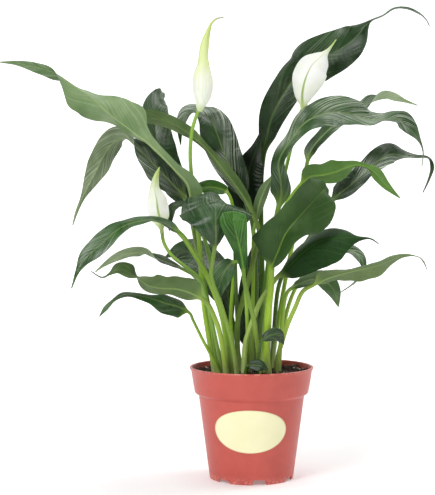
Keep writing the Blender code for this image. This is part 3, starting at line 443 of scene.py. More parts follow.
class LilyStageSettings(bpy.types.PropertyGroup):
    """The camera and the studio."""

    distance: FloatProperty(
        name="Camera distance",
        description="From the camera to the upright plane through the pot's axis",
        default=1.370,
        subtype="DISTANCE",
        unit="LENGTH",
    )
    height: FloatProperty(
        name="Camera height",
        description="Height of the camera over the floor",
        default=0.2908,
        subtype="DISTANCE",
        unit="LENGTH",
    )
    aim: FloatVectorProperty(
        name="Aim",
        description="Point in the upright plane through the pot's axis that the camera looks at",
        default=(-0.0342, 0.0, 0.2313),
        size=3,
        subtype="XYZ",
        unit="LENGTH",
    )
    lens: FloatProperty(
        name="Lens",
        description="Focal length on a 36 mm wide sensor",
        default=99.6,
        subtype="DISTANCE_CAMERA",
        unit="CAMERA",
    )
    key: FloatProperty(
        name="Key light",
        description="Power of the soft light to the front left",
        default=32.0,
        unit="POWER",
    )
    fill: FloatProperty(
        name="Fill light",
        description="Power of the large soft light to the front right",
        default=6.0,
        unit="POWER",
    )
    top: FloatProperty(
        name="Top light",
        description="Power of the soft light over the plant",
        default=12.0,
        unit="POWER",
    )
    rim: FloatProperty(
        name="Rim light",
        description="Power of the soft light behind the plant to its right",
        default=13.0,
        unit="POWER",
    )
    room: FloatProperty(
        name="Room light",
        description="Brightness of the white room round the stage",
        default=0.12,
        min=0.0,
    )
    glow: FloatProperty(
        name="Sweep glow",
        description="Brightness of the acrylic sweep from the lamps behind it",
        default=0.75,
        min=0.0,
    )


class LilySettings(bpy.types.PropertyGroup):
    """Everything that can be changed before the plant is built."""

    leaf: PointerProperty(type=LilyLeafSettings)
    pot: PointerProperty(type=LilyPotSettings)
    soil: PointerProperty(type=LilySoilSettings)
    stage: PointerProperty(type=LilyStageSettings)


# ------------------------------------------------------------------ curves and frames
def unit(vectors):
    """The same directions, each one long."""
    return vectors / np.linalg.norm(vectors, axis=-1, keepdims=True)


def smoothstep(low, high, value):
    """0 below low, 1 above high, and 3t^2 - 2t^3 of the way t between."""
    t = np.clip((value - low) / (high - low), 0.0, 1.0)
    return t * t * (3 - 2 * t)


def spline(rows, steps=SPAN_STEPS):
    """A Catmull-Rom curve through the rows, every column carried along it, a fixed count per span."""
    rows = np.array(rows, float)
    padded = np.vstack([2 * rows[0] - rows[1], rows, 2 * rows[-1] - rows[-2]])
    a, b, c, d = (padded[i : len(padded) - 3 + i, None, :] for i in range(4))
    t = np.linspace(0.0, 1.0, steps, endpoint=False)[None, :, None]
    bend = (2 * a - 5 * b + 4 * c - d) * t**2 + (-a + 3 * b - 3 * c + d) * t**3
    curve = 0.5 * (2 * b + (c - a) * t + bend)
    return np.vstack([curve.reshape(-1, rows.shape[1]), rows[-1:]])


def lengths_along(points):
    """Length along a line of points from its first to each of them."""
    steps = np.linalg.norm(np.diff(points, axis=0), axis=1)
    return np.concatenate([[0.0], np.cumsum(steps)])


def spaced(curve, count):
    """The curve's rows taken again at count even distances."""
    along = lengths_along(curve[:, :3])
    wanted = np.linspace(0.0, along[-1], count)
    return np.stack([np.interp(wanted, along, column) for column in curve.T], axis=1)


def frames(points, turn, side):
    """Upper-face normals and across directions of a blade along its midrib.

    The normal starts as the front direction made square to the midrib, and is turned about the
    midrib by turn, so that 0 faces the front and 90 faces up.
    """
    along = unit(np.gradient(points, axis=0))
    front = np.array([0.0, -1.0, 0.0])
    facing = unit(front - (along @ front)[:, None] * along)
    upward = -side * np.cross(along, facing)
    angle = np.radians(turn)[:, None]
    normal = np.cos(angle) * facing + np.sin(angle) * upward
    across = np.cos(angle) * upward - np.sin(angle) * facing
    return normal, across


def outward(normal, right, angles):
    """Directions away from a line, at each station and angle: 0 is to the right, 90 the normal."""
    return right[:, None] * np.cos(angles)[:, None] + normal[:, None] * np.sin(angles)[:, None]


def waves(points, seed, shortest, longest, count=28):
    """A smooth random height over the points: count sine waves of random direction and phase.

    Each wave's height falls with its wave number, and the sum is scaled to a spread of one.
    """
    chance = np.random.default_rng(seed)
    size = np.exp(chance.uniform(np.log(shortest), np.log(longest), count))
    way = unit(chance.normal(size=(count, points.shape[-1]))) * (2 * np.pi / size)[:, None]
    phase = chance.uniform(0, 2 * np.pi, count)
    height = (np.sin(points @ way.T + phase) * size).sum(axis=-1)
    return height / np.sqrt((size**2).sum() / 2)


# ------------------------------------------------------------------ meshes
def make_mesh(name, points, faces, sharp=30.0):
    """An object at the origin from points in millimetres; edges sharper than the angle stay hard."""
    mesh = bpy.data.meshes.new(name)
    mesh.from_pydata((points * MM).tolist(), [], faces)
    mesh.update()
    mesh.shade_smooth()
    if sharp:
        mesh.set_sharp_from_angle(angle=np.radians(sharp))
    made = bpy.data.objects.new(name, mesh)
    bpy.context.scene.collection.objects.link(made)
    return made


def mark(piece, name, values, domain="POINT"):
    """Keeps one number for each point or face of the mesh, for its material to read."""
    layer = piece.data.attributes.new(name, "FLOAT", domain)
    layer.data.foreach_set("value", np.asarray(values, np.float32).ravel())


def unwrap(piece, name, uv):
    """Gives the mesh a UV map from one pair of numbers for each point."""
    corners = np.empty(len(piece.data.loops), np.int32)
    piece.data.loops.foreach_get("vertex_index", corners)
    layer = piece.data.uv_layers.new(name=name)
    layer.data.foreach_set("uv", uv[corners].astype(np.float32).ravel())


def tube_faces(rings, caps=True):
    """Quads of a closed tube through rings of points, and one face over each end.

    Every face is turned outward: the sign of the enclosed volume says which way they lie.
    """
    stations, columns = rings.shape[:2]
    index = np.arange(stations * columns).reshape(stations, columns)
    after = np.roll(index, -1, axis=1)
    quads = np.stack([index[:-1], after[:-1], after[1:], index[1:]], axis=-1).reshape(-1, 4)
    points = rings.reshape(-1, 3) - rings.reshape(-1, 3).mean(axis=0)
    a, b, c, d = (points[quads[:, i]] for i in range(4))
    volume = np.einsum("ij,ij->", a, np.cross(b, c)) + np.einsum("ij,ij->", a, np.cross(c, d))
    faces = [tuple(quad) for quad in quads.tolist()]
    if caps:
        faces.append(tuple(index[0][::-1].tolist()))
        faces.append(tuple(index[-1].tolist()))
    if volume < 0:
        faces = [face[::-1] for face in faces]
    return faces


def make_tube(name, rings, sharp=30.0):
    """A closed mesh over rings of points, with both ends capped."""
    return make_mesh(name, rings.reshape(-1, 3), tube_faces(rings), sharp)


def turned(profile, angles):
    """A profile of radius and height turned about Z: (heights, angles, 3)."""
    radius = profile[..., 0]
    height = np.broadcast_to(profile[..., 1], radius.shape)
    return np.stack([radius * np.cos(angles), radius * np.sin(angles), height], axis=-1)


def place(piece, material, slot, *nodes):
    """Finishes a piece: its material, the body it rides on, and the nodes it stands for; its slot is not used.
    """
    piece.data.materials.append(material)
    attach(piece, BODY)
    if nodes:
        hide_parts(*nodes)
    return piece


# ------------------------------------------------------------------ leaf and spathe surfaces
def blade_columns(count):
    """Places round a blade's section: over the upper face from right to left, then back below.

    Returns the angle round the round stalk, the place across from -1 to 1 with points drawn
    together at the midrib, and 1 for the upper face or -1 for the lower.
    """
    over = np.linspace(1.0, -1.0, count + 1)
    under = np.linspace(-1.0, 1.0, count + 1)[1:-1]
    share = np.concatenate([over, under])
    face = np.concatenate([np.ones(count + 1), -np.ones(count - 1)])
    angle = face * (np.pi / 2) * (1 - share)
    across = np.sign(share) * np.abs(share) ** 1.25
    return angle, across, face


def leaf_rings(rows, stalk_count, side, radius, look, seed):
    """Rings of a leaf from its soil end to its tip, and what its material reads at each point.

    Rows are x, y, z, turn, half width, fold. The stalk is a circle of the given radius with a
    shallow channel on its upper side. Over the first tenth of the blade the circle turns into
    the blade's section: each half leans up from the midrib by the fold, arches by its look's
    share of its width, rises and falls along side veins that sweep towards the tip, and waves at its
    margin. The lower face bulges along the midrib as exp(-(d / s)^2) and the upper face dips.

    The material reads veins (centimetres along a side vein's own start and away from the
    midrib), along (-1 at the soil, 0 where the blade begins, 1 at the tip), across (-1 to 1 from
    margin to margin) and the face.
    """
    chance = np.random.default_rng(seed)
    angle, across, face = blade_columns(look["columns"])
    points = rows[:, :3]
    normal, right = frames(points, rows[:, 3], side)
    along = lengths_along(points)
    start = along[stalk_count - 1]
    blade_length = along[-1] - start
    share = (along - start) / blade_length
    width = rows[:, 4, None]
    fold = np.radians(rows[:, 5])[:, None]
    from_rib = np.abs(across) * width
    vein = (along - start)[:, None] - 2.1 * from_rib - 0.65 * from_rib * np.abs(across)

    lateral = across * width * np.cos(fold)
    soft = 0.12
    valley = (np.sqrt(across**2 + soft**2) - soft) / (np.sqrt(1 + soft**2) - soft)
    rise = width * np.sin(fold) * valley
    rise = rise + look["arch"] * width * 4 * np.abs(across) * (1 - np.abs(across))
    inner = smoothstep(0.04, 0.25, np.abs(across)) * (1 - smoothstep(0.80, 1.0, np.abs(across)))
    drift = 0.8 * np.sin(vein / 17.0 + chance.uniform(0, 6))
    beat = 2 * np.pi * vein / look["vein_spacing"] + drift
    rise = rise + look["vein_depth"] * inner * np.sin(beat)
    phase = np.where(across > 0, chance.uniform(0, 6), chance.uniform(0, 6))
    length = np.where(across > 0, chance.uniform(38, 55), chance.uniform(38, 55))
    wave = np.sin(2 * np.pi * along[:, None] / length + phase)
    wave = wave + 0.4 * np.sin(2 * np.pi * along[:, None] / (0.43 * length) + 2 * phase)
    reach = np.minimum(look["margin_wave"], 0.07 * width)
    rise = rise + reach * np.abs(across) ** 2.5 * wave

    rib = look["rib"] * radius * (1 - np.clip(share, 0, 1))[:, None] ** 1.2 + 0.15
    closing = np.sqrt(np.clip(1 - across**2, 0, 1)) ** 0.6
    lower = look["thickness"] / 2 + rib * np.exp(-((from_rib / np.maximum(rib, 0.7)) ** 2))
    upper = look["thickness"] / 2 - 0.35 * rib * np.exp(-((from_rib / 0.9) ** 2)) * (width > 3)
    height = rise + closing * np.where(face > 0, upper, -lower)

    roundness = 1 - smoothstep(0.0, 0.10, share)[:, None]
    foot = 1 + 0.30 * np.exp(-(((points[:, 2] - STALK_START) / FOOT_SPREAD) ** 2))[:, None]
    taper = radius * foot * (1 - 0.10 * smoothstep(-0.6, 0.0, share)[:, None])
    channel = 1 - 0.16 * np.clip(np.sin(angle), 0, 1) ** 4
    round_across = taper * np.cos(angle)
    round_height = taper * np.sin(angle) * channel
    to_right = (roundness * round_across + (1 - roundness) * lateral)[..., None]
    to_top = (roundness * round_height + (1 - roundness) * height)[..., None]
    rings = points[:, None] + right[:, None] * to_right + normal[:, None] * to_top
    signed = np.sign(across) * from_rib * (1 - roundness)
    reads = {
        "veins": np.stack([vein / 10, signed / 10], axis=-1).reshape(-1, 2),
        "along": np.broadcast_to(
            np.where(share < 0, along / start - 1, share)[:, None], vein.shape
        ),
        "across": across * (1 - roundness),
        "face": face,
    }
    return rings, reads


def leaf_piece(name, rings, reads, columns):
    """The mesh of a leaf or spathe with what its material reads, its margins kept hard."""
    piece = make_tube(name, rings, sharp=0)
    unwrap(piece, "veins", reads["veins"])
    mark(piece, "along", reads["along"])
    mark(piece, "across", reads["across"])
    ring = rings.shape[1]
    upper = np.tile(np.arange(ring) < columns, rings.shape[0] - 1)
    mark(piece, "upper_face", np.concatenate([upper, [0, 0]]), "FACE")
    ends = np.empty(len(piece.data.edges) * 2, np.int32)
    piece.data.edges.foreach_get("vertices", ends)
    ends = ends.reshape(-1, 2)
    on_margin = np.isin(ends % ring, (0, columns)).all(axis=1)
    on_margin &= np.abs(reads["across"].ravel()[ends]).min(axis=1) > 0.5
    hard = piece.data.attributes.new("sharp_edge", "BOOLEAN", "EDGE")
    hard.data.foreach_set("value", on_margin)
    return piece


# ------------------------------------------------------------------ material tools
def linear(code):
    """An sRGB hex colour as linear red, green, blue and an alpha of one."""
    channels = np.array([int(code[i : i + 2], 16) for i in (1, 3, 5)]) / 255
    low = channels / 12.92
    high = ((channels + 0.055) / 1.055) ** 2.4
    return (*np.where(channels <= 0.04045, low, high).tolist(), 1.0)


# A pattern's scale is the metre, or the leaf's UV unit of a centimetre, divided by the real size of
# the feature. A MapRange takes value, low, high and then what low and high become. A TexNoise takes
# place, scale, detail, roughness, lacunarity and distortion.
SMOOTH = {"interpolation_type": "SMOOTHSTEP"}

# Fibres of a stalk and of a rolled petal: how wide they are each way, and how long.
FIBRES = (METRE / 1.111, METRE / 1.111, METRE / 45.45)
PETAL_FIBRES = (METRE / 1.923, METRE / 1.923, METRE / 38.46)


def add(tree, kind, inputs=(), out=None, **settings):
    """Adds a node, sets its settings, fills its inputs and returns one of its outputs.

    The inputs are a dict by name, or a tuple by place among the inputs that the settings leave in
    use. Each is a value or another node's output. The output is the first one in use, or the
    named one.
    """
    made = tree.nodes.new("ShaderNode" + kind)
    for key, value in settings.items():
        setattr(made, key, value)
    if isinstance(inputs, dict):
        filled = [(made.inputs[key], value) for key, value in inputs.items()]
    else:
        filled = zip([socket for socket in made.inputs if socket.enabled], inputs)
    for socket, value in filled:
        if isinstance(value, bpy.types.NodeSocket):
            tree.links.new(value, socket)
        else:
            socket.default_value = value
    return made.outputs[out] if out else next(socket for socket in made.outputs if socket.enabled)


def new_material(name):
    """A material with its Principled shader and its tree."""
    material = bpy.data.materials.new(name)
    material.use_nodes = True
    return material, material.node_tree, material.node_tree.nodes["Principled BSDF"]


# ------------------------------------------------------------------ materials
def waxy_leaf(tone):
    """Living leaf: a waxy dark upper face, a duller pale lower face, a lime midrib, and pale highlight streaks
    painted along the side veins.

    The wax gives soft broad highlights that break along the side veins.
    """
    deep, light, vein, streak_highlight_strength, under_deep, under_light, rib, stalk, roughness, shine = TONES[tone]
    material, tree, shader = new_material(f"waxy_leaf_{tone}")
    uv = add(tree, "UVMap", uv_map="veins")
    aside = add(tree, "SeparateXYZ", (uv,), "Y")
    from_rib = add(tree, "Math", (aside,), operation="ABSOLUTE")
    place_now = add(tree, "TexCoord", out="Object")
    along = add(tree, "Attribute", out="Fac", attribute_name="along")
    upper = add(tree, "Attribute", out="Fac", attribute_name="upper_face")
    # Painted highlights: pale streaks that follow the side veins, 1.5 mm wide and 33 mm long, with finer ones
    # between them.
    stretched = add(tree, "Mapping", {"Vector": uv, "Scale": (CM / 1.538, CM / 33.33, 1.0)})
    streak = add(tree, "TexNoise", (stretched, 1.0, 2.0, 0.5))
    finer = add(tree, "Mapping", {"Vector": uv, "Scale": (CM / 0.625, CM / 14.29, 1.0)})
    fine = add(tree, "TexNoise", (finer, 1.0, 2.0, 0.5))
    # Soft mottling, and leaf cells drawn coarse enough to catch the light.
    patch = add(tree, "TexNoise", (place_now, METRE / 23.81, 3.0, 0.55))
    cells = add(tree, "TexNoise", (place_now, METRE / 0.3846, 1.0, 0.55))

    # Painted shade: the blade is painted deeper green and its painted streaks fainter toward the stalk, where
    # it lies in shade.
    grown = add(tree, "MapRange", (along, 0.05, 0.42, 0.25, 1.0), **SMOOTH)
    mottle = add(tree, "MapRange", (patch, 0.25, 0.75), **SMOOTH)
    mottle = add(tree, "Math", (mottle, grown), operation="MULTIPLY")
    upper_green = add(tree, "Mix", (mottle, linear(deep), linear(light)), data_type="RGBA")
    lower_green = add(
        tree, "Mix", (mottle, linear(under_deep), linear(under_light)), data_type="RGBA"
    )
    painted_streak_share = add(tree, "MapRange", (streak, 0.45, 0.64, 0.0, streak_highlight_strength), **SMOOTH)
    painted_streak_share = add(tree, "Math", (painted_streak_share, grown), operation="MULTIPLY")
    # The painted highlight streaks come and go over patches of the blade, as a sheen does.
    away = add(tree, "TexNoise", (place_now, METRE / 43.48, 2.0, 0.55))
    away = add(tree, "MapRange", (away, 0.38, 0.56), **SMOOTH)
    painted_streak_share = add(tree, "Math", (painted_streak_share, away), operation="MULTIPLY")
    # Painted highlight: the pale vein colour is laid over both faces where the streaks show.
    upper_green = add(tree, "Mix", (painted_streak_share, upper_green, linear(vein)), data_type="RGBA")
    share = add(tree, "Math", (painted_streak_share, 0.75), operation="MULTIPLY")
    lower_green = add(tree, "Mix", (share, lower_green, linear(vein)), data_type="RGBA")
    sunken = add(tree, "MapRange", (fine, 0.45, 0.65, 0.0, 0.45), **SMOOTH)
    upper_green = add(tree, "Mix", (sunken, upper_green, linear(deep)), data_type="RGBA")
    lower_green = add(tree, "Mix", (sunken, lower_green, linear(under_deep)), data_type="RGBA")

    rib_width = add(tree, "MapRange", (along, 0.0, 0.9, 0.17, 0.07), **SMOOTH)
    on_rib = add(tree, "Math", (from_rib, rib_width), operation="DIVIDE")
    on_rib = add(tree, "Math", (1.0, on_rib), operation="SUBTRACT")
    on_rib = add(tree, "MapRange", (on_rib, 0.0, 0.7), **SMOOTH)
    fading = add(tree, "MapRange", (along, 0.25, 0.95, 1.0, 0.35), **SMOOTH)
    on_rib = add(tree, "Math", (on_rib, fading), operation="MULTIPLY")
    share = add(tree, "Math", (on_rib, 0.5), operation="MULTIPLY")
    upper_green = add(tree, "Mix", (share, upper_green, linear(rib)), data_type="RGBA")
    share = add(tree, "Math", (on_rib, 0.8), operation="MULTIPLY")
    lower_green = add(tree, "Mix", (share, lower_green, linear(rib)), data_type="RGBA")
    blade = add(tree, "Mix", (upper, lower_green, upper_green), data_type="RGBA")

    grain = add(tree, "Mapping", {"Vector": place_now, "Scale": FIBRES})
    grain = add(tree, "TexNoise", (grain, 1.0, 2.0, 0.55))
    share = add(tree, "MapRange", (along, -1.0, -0.72), **SMOOTH)
    green_stalk = add(tree, "Mix", (share, linear("#b4c67c"), linear(stalk)), data_type="RGBA")
    share = add(tree, "MapRange", (along, -0.45, 0.0, 0.0, 0.42), **SMOOTH)
    green_stalk = add(tree, "Mix", (share, green_stalk, linear(under_deep)), data_type="RGBA")
    share = add(tree, "Math", (grain, 0.28), operation="MULTIPLY")
    green_stalk = add(tree, "Mix", (share, green_stalk, linear(under_deep)), data_type="RGBA")
    on_stalk = add(tree, "MapRange", (along, 0.0, 0.11, 1.0, 0.0), **SMOOTH)
    colour = add(tree, "Mix", (on_stalk, blade, green_stalk), data_type="RGBA")
    tree.links.new(colour, shader.inputs["Base Color"])

    gloss = add(tree, "MapRange", (upper, 0.0, 1.0, roughness + 0.12, roughness), **SMOOTH)
    worn_wax = add(tree, "MapRange", (patch, 0.3, 0.7, -0.05, 0.06), **SMOOTH)
    gloss = add(tree, "Math", (gloss, worn_wax), operation="ADD")
    tree.links.new(gloss, shader.inputs["Roughness"])
    shader.inputs["IOR"].default_value = 1.45
    shader.inputs["Specular IOR Level"].default_value = shine
    height = add(tree, "Math", (streak, 0.9), operation="MULTIPLY")
    height = add(tree, "Math", (fine, 0.35, height), operation="MULTIPLY_ADD")
    height = add(tree, "Math", (cells, 0.05, height), operation="MULTIPLY_ADD")
    raised = add(tree, "Bump", {"Height": height, "Distance": 0.4 * MM, "Strength": 0.55})
    tree.links.new(raised, shader.inputs["Normal"])
    return material


def waxy_stalk():
    """Living flower stalk: smooth lime green, darker higher up, with fine lengthwise fibres."""
    material, tree, shader = new_material("waxy_flower_stalk")
    place_now = add(tree, "TexCoord", out="Object")
    along = add(tree, "Attribute", out="Fac", attribute_name="along")
    grain = add(tree, "Mapping", {"Vector": place_now, "Scale": FIBRES})
    grain = add(tree, "TexNoise", (grain, 1.0, 2.0, 0.55))
    share = add(tree, "MapRange", (along, 0.0, 0.3), **SMOOTH)
    colour = add(tree, "Mix", (share, linear("#bcd47c"), linear("#86b048")), data_type="RGBA")
    share = add(tree, "MapRange", (along, 0.55, 0.95), **SMOOTH)
    colour = add(tree, "Mix", (share, colour, linear("#9cc24e")), data_type="RGBA")
    share = add(tree, "Math", (grain, 0.5), operation="MULTIPLY")
    colour = add(tree, "Mix", (share, colour, linear("#5f8a3a")), data_type="RGBA")
    tree.links.new(colour, shader.inputs["Base Color"])
    shader.inputs["Roughness"].default_value = 0.42
    shader.inputs["IOR"].default_value = 1.45
    raised = add(tree, "Bump", {"Height": grain, "Distance": 0.2 * MM, "Strength": 0.4})
    tree.links.new(raised, shader.inputs["Normal"])
    return material


def petal_spathe(name, lime_foot, lime_tip):
    """Living spathe: thin, soft and white, lime along its midrib, at its foot and at its tip.

    Light passes into it, so its shaded side stays bright, and a faint painted glow brightens it further.
    """
    material, tree, shader = new_material(name)
    uv = add(tree, "UVMap", uv_map="veins")
    aside = add(tree, "SeparateXYZ", (uv,), "Y")
    from_rib = add(tree, "Math", (aside,), operation="ABSOLUTE")
    along = add(tree, "Attribute", out="Fac", attribute_name="along")
    lines = add(tree, "Mapping", {"Vector": uv, "Scale": (CM / 16.67, CM / 1.111, 1.0)})
    lines = add(tree, "TexNoise", (lines, 1.0, 2.0, 0.55))
    place_now = add(tree, "TexCoord", out="Object")
    patch = add(tree, "TexNoise", (place_now, METRE / 16.67, 2.0, 0.55))
    share = add(tree, "MapRange", (patch, 0.3, 0.7), **SMOOTH)
    colour = add(tree, "Mix", (share, linear("#eef0ea"), linear("#e3e8d8")), data_type="RGBA")
    share = add(tree, "MapRange", (lines, 0.5, 0.75, 0.0, 0.30), **SMOOTH)
    colour = add(tree, "Mix", (share, colour, linear("#cfdcae")), data_type="RGBA")
    wide = add(tree, "MapRange", (along, 0.05, 0.75, 0.22, 0.07), **SMOOTH)
    on_rib = add(tree, "Math", (from_rib, wide), operation="DIVIDE")
    on_rib = add(tree, "Math", (1.0, on_rib), operation="SUBTRACT")
    on_rib = add(tree, "MapRange", (on_rib, 0.0, 0.8), **SMOOTH)
    fading = add(tree, "MapRange", (along, 0.35, 0.7, 1.0, 0.35), **SMOOTH)
    on_rib = add(tree, "Math", (on_rib, fading), operation="MULTIPLY")
    colour = add(tree, "Mix", (on_rib, colour, linear("#869f3c")), data_type="RGBA")
    foot = add(tree, "MapRange", (along, 0.02, lime_foot, 0.8, 0.0), **SMOOTH)
    colour = add(tree, "Mix", (foot, colour, linear("#b4ca74")), data_type="RGBA")
    tip = add(tree, "MapRange", (along, lime_tip, 0.95), **SMOOTH)
    colour = add(tree, "Mix", (tip, colour, linear("#a5bb5e")), data_type="RGBA")
    tree.links.new(colour, shader.inputs["Base Color"])
    shader.inputs["Roughness"].default_value = 0.5
    shader.inputs["IOR"].default_value = 1.42
    shader.inputs["Subsurface Weight"].default_value = 0.35
    shader.inputs["Subsurface Radius"].default_value = (0.6, 0.7, 0.35)
    shader.inputs["Subsurface Scale"].default_value = 4.0 * MM
    # Painted glow: a faint emission lifts the spathe where it lies in shade.
    shader.inputs["Emission Color"].default_value = linear("#f2f5e2")
    shader.inputs["Emission Strength"].default_value = 0.09
    raised = add(tree, "Bump", {"Height": lines, "Distance": 0.3 * MM, "Strength": 0.4})
    tree.links.new(raised, shader.inputs["Normal"])
    return material


def rolled_petal():
    """Living spathe before it opens: white low down, lime from its middle to its drawn-out tip."""
    material, tree, shader = new_material("petal_spathe_rolled")
    along = add(tree, "Attribute", out="Fac", attribute_name="along")
    across = add(tree, "Attribute", out="Fac", attribute_name="across")
    place_now = add(tree, "TexCoord", out="Object")
    grain = add(tree, "Mapping", {"Vector": place_now, "Scale": PETAL_FIBRES})
    grain = add(tree, "TexNoise", (grain, 1.0, 2.0, 0.55))
    patch = add(tree, "TexNoise", (place_now, METRE / 13.33, 2.0, 0.55))
    shifted = add(tree, "Math", (patch, 0.5), operation="SUBTRACT")
    shifted = add(tree, "Math", (shifted, 0.25, along), operation="MULTIPLY_ADD")
    share = add(tree, "MapRange", (shifted, 0.25, 0.52), **SMOOTH)
    colour = add(tree, "Mix", (share, linear("#eef1e4"), linear("#d3e09c")), data_type="RGBA")
    share = add(tree, "MapRange", (shifted, 0.55, 0.80), **SMOOTH)
    colour = add(tree, "Mix", (share, colour, linear("#bccf74")), data_type="RGBA")
    share = add(tree, "MapRange", (along, 0.86, 0.97), **SMOOTH)
    colour = add(tree, "Mix", (share, colour, linear("#8c9a68")), data_type="RGBA")
    share = add(tree, "MapRange", (along, 0.0, 0.10, 0.7, 0.0), **SMOOTH)
    colour = add(tree, "Mix", (share, colour, linear("#a9c95c")), data_type="RGBA")
    lapped = add(tree, "Math", (across, 0.80), operation="SUBTRACT")
    lapped = add(tree, "Math", (lapped,), operation="ABSOLUTE")
    near_rib = add(tree, "MapRange", (lapped, 0.0, 0.10, 0.85, 0.0), **SMOOTH)
    share = add(tree, "MapRange", (along, 0.75, 0.95, 1.0, 0.0), **SMOOTH)
    share = add(tree, "Math", (near_rib, share), operation="MULTIPLY")
    colour = add(tree, "Mix", (share, colour, linear("#93b53e")), data_type="RGBA")
    share = add(tree, "MapRange", (grain, 0.45, 0.75, 0.0, 0.28), **SMOOTH)
    colour = add(tree, "Mix", (share, colour, linear("#b5cf70")), data_type="RGBA")
    edge = add(tree, "Math", (across,), operation="ABSOLUTE")
    share = add(tree, "MapRange", (edge, 0.985, 1.0, 0.0, 0.8), **SMOOTH)
    colour = add(tree, "Mix", (share, colour, linear("#6f8a3c")), data_type="RGBA")
    tree.links.new(colour, shader.inputs["Base Color"])
    shader.inputs["Roughness"].default_value = 0.48
    shader.inputs["IOR"].default_value = 1.42
    shader.inputs["Subsurface Weight"].default_value = 0.3
    shader.inputs["Subsurface Radius"].default_value = (0.6, 0.7, 0.35)
    shader.inputs["Subsurface Scale"].default_value = 4.0 * MM
    # Painted glow: a faint emission lifts the rolled spathe where it lies in shade.
    shader.inputs["Emission Color"].default_value = linear("#e9f2c4")
    shader.inputs["Emission Strength"].default_value = 0.12
    raised = add(tree, "Bump", {"Height": grain, "Distance": 0.3 * MM, "Strength": 0.35})
    tree.links.new(raised, shader.inputs["Normal"])
    return material


def flowering_spadix():
    """Spadix: a crowd of tiny cream flowers, greener in the gaps between them."""
    material, tree, shader = new_material("flowering_spadix")
    knob = add(tree, "Attribute", out="Fac", attribute_name="knob")
    share = add(tree, "MapRange", (knob, 0.15, 0.8), **SMOOTH)
    colour = add(tree, "Mix", (share, linear("#a8b068"), linear("#f2eecb")), data_type="RGBA")
    place_now = add(tree, "TexCoord", out="Object")
    fine = add(tree, "TexNoise", (place_now, METRE / 0.5556, 2.0, 0.55))
    share = add(tree, "Math", (fine, 0.3), operation="MULTIPLY")
    colour = add(tree, "Mix", (share, colour, linear("#d9cf8f")), data_type="RGBA")
    tree.links.new(colour, shader.inputs["Base Color"])
    shader.inputs["Roughness"].default_value = 0.62
    raised = add(tree, "Bump", {"Height": fine, "Distance": 0.2 * MM, "Strength": 0.6})
    tree.links.new(raised, shader.inputs["Normal"])
    return material


def moulded_polypropylene(plastic):
    """Terracotta-coloured polypropylene, injection moulded: satin, and paler where it is scuffed.

    Scuffs lie at the lip and round the foot, where pots rub in a crate, and a faint mottle of
    the recycled plastic runs through the whole.
    """
    material, tree, shader = new_material("moulded_polypropylene")
    place_now = add(tree, "TexCoord", out="Object")
    height = add(tree, "SeparateXYZ", (place_now,), "Z")
    mottle = add(tree, "TexNoise", (place_now, METRE / 18.18, 4.0, 0.6))
    fine = add(tree, "TexNoise", (place_now, METRE / 1.111, 3.0, 0.6))
    scratch = add(tree, "TexNoise", (place_now, METRE / 3.846, 4.0, 0.7, 2.0, 1.5))
    body = (*plastic, 1.0)
    dark = (plastic[0] * 0.90, plastic[1] * 0.84, plastic[2] * 0.84, 1.0)
    pale = linear("#e6968a")
    share = add(tree, "MapRange", (mottle, 0.3, 0.7), **SMOOTH)
    colour = add(tree, "Mix", (share, dark, body), data_type="RGBA")
    share = add(tree, "Math", (fine, 0.16), operation="MULTIPLY")
    colour = add(tree, "Mix", (share, colour, dark), data_type="RGBA")
    at_lip = add(tree, "MapRange", (height, 110.0 * MM, 111.6 * MM), **SMOOTH)
    at_foot = add(tree, "MapRange", (height, 0.0, 9.0 * MM, 1.0, 0.0), **SMOOTH)
    worn = add(tree, "Math", (at_foot, at_lip), operation="MAXIMUM")
    scuffed = add(tree, "MapRange", (scratch, 0.44, 0.60, 0.0, 0.75), **SMOOTH)
    share = add(tree, "Math", (worn, scuffed), operation="MULTIPLY")
    colour = add(tree, "Mix", (share, colour, pale), data_type="RGBA")
    tree.links.new(colour, shader.inputs["Base Color"])
    gloss = add(tree, "MapRange", (mottle, 0.25, 0.75, 0.34, 0.46), **SMOOTH)
    tree.links.new(gloss, shader.inputs["Roughness"])
    shader.inputs["IOR"].default_value = 1.49
    skin = add(tree, "Math", (fine, 0.5), operation="MULTIPLY")
    skin = add(tree, "Math", (scratch, 0.5, skin), operation="MULTIPLY_ADD")
    raised = add(tree, "Bump", {"Height": skin, "Distance": 0.12 * MM, "Strength": 0.35})
    tree.links.new(raised, shader.inputs["Normal"])
    return material


def coated_label(cream):
    """Coated label paper: cream, satin, with a faint tooth, and a painted shadow along its edge."""
    material, tree, shader = new_material("coated_label_paper")
    place_now = add(tree, "TexCoord", out="Object")
    fibre = add(tree, "TexNoise", (place_now, METRE / 0.7143, 3.0, 0.6))
    patch = add(tree, "TexNoise", (place_now, METRE / 22.22, 2.0, 0.55))
    body = (*cream, 1.0)
    dull = (cream[0] * 0.97, cream[1] * 0.965, cream[2] * 0.93, 1.0)
    share = add(tree, "MapRange", (patch, 0.3, 0.7), **SMOOTH)
    colour = add(tree, "Mix", (share, dull, body), data_type="RGBA")
    share = add(tree, "Math", (fibre, 0.25), operation="MULTIPLY")
    colour = add(tree, "Mix", (share, colour, dull), data_type="RGBA")
    # Painted shadow: the label is painted darker at its edge, standing for the thin shadow round it.
    edge = add(tree, "Attribute", out="Fac", attribute_name="rim")
    share = add(tree, "MapRange", (edge, 0.955, 0.985, 0.0, 0.55), **SMOOTH)
    colour = add(tree, "Mix", (share, colour, linear("#d9b98a")), data_type="RGBA")
    tree.links.new(colour, shader.inputs["Base Color"])
    shader.inputs["Roughness"].default_value = 0.42
    shader.inputs["IOR"].default_value = 1.5
    raised = add(tree, "Bump", {"Height": fibre, "Distance": 0.05 * MM, "Strength": 0.4})
    tree.links.new(raised, shader.inputs["Normal"])
    return material


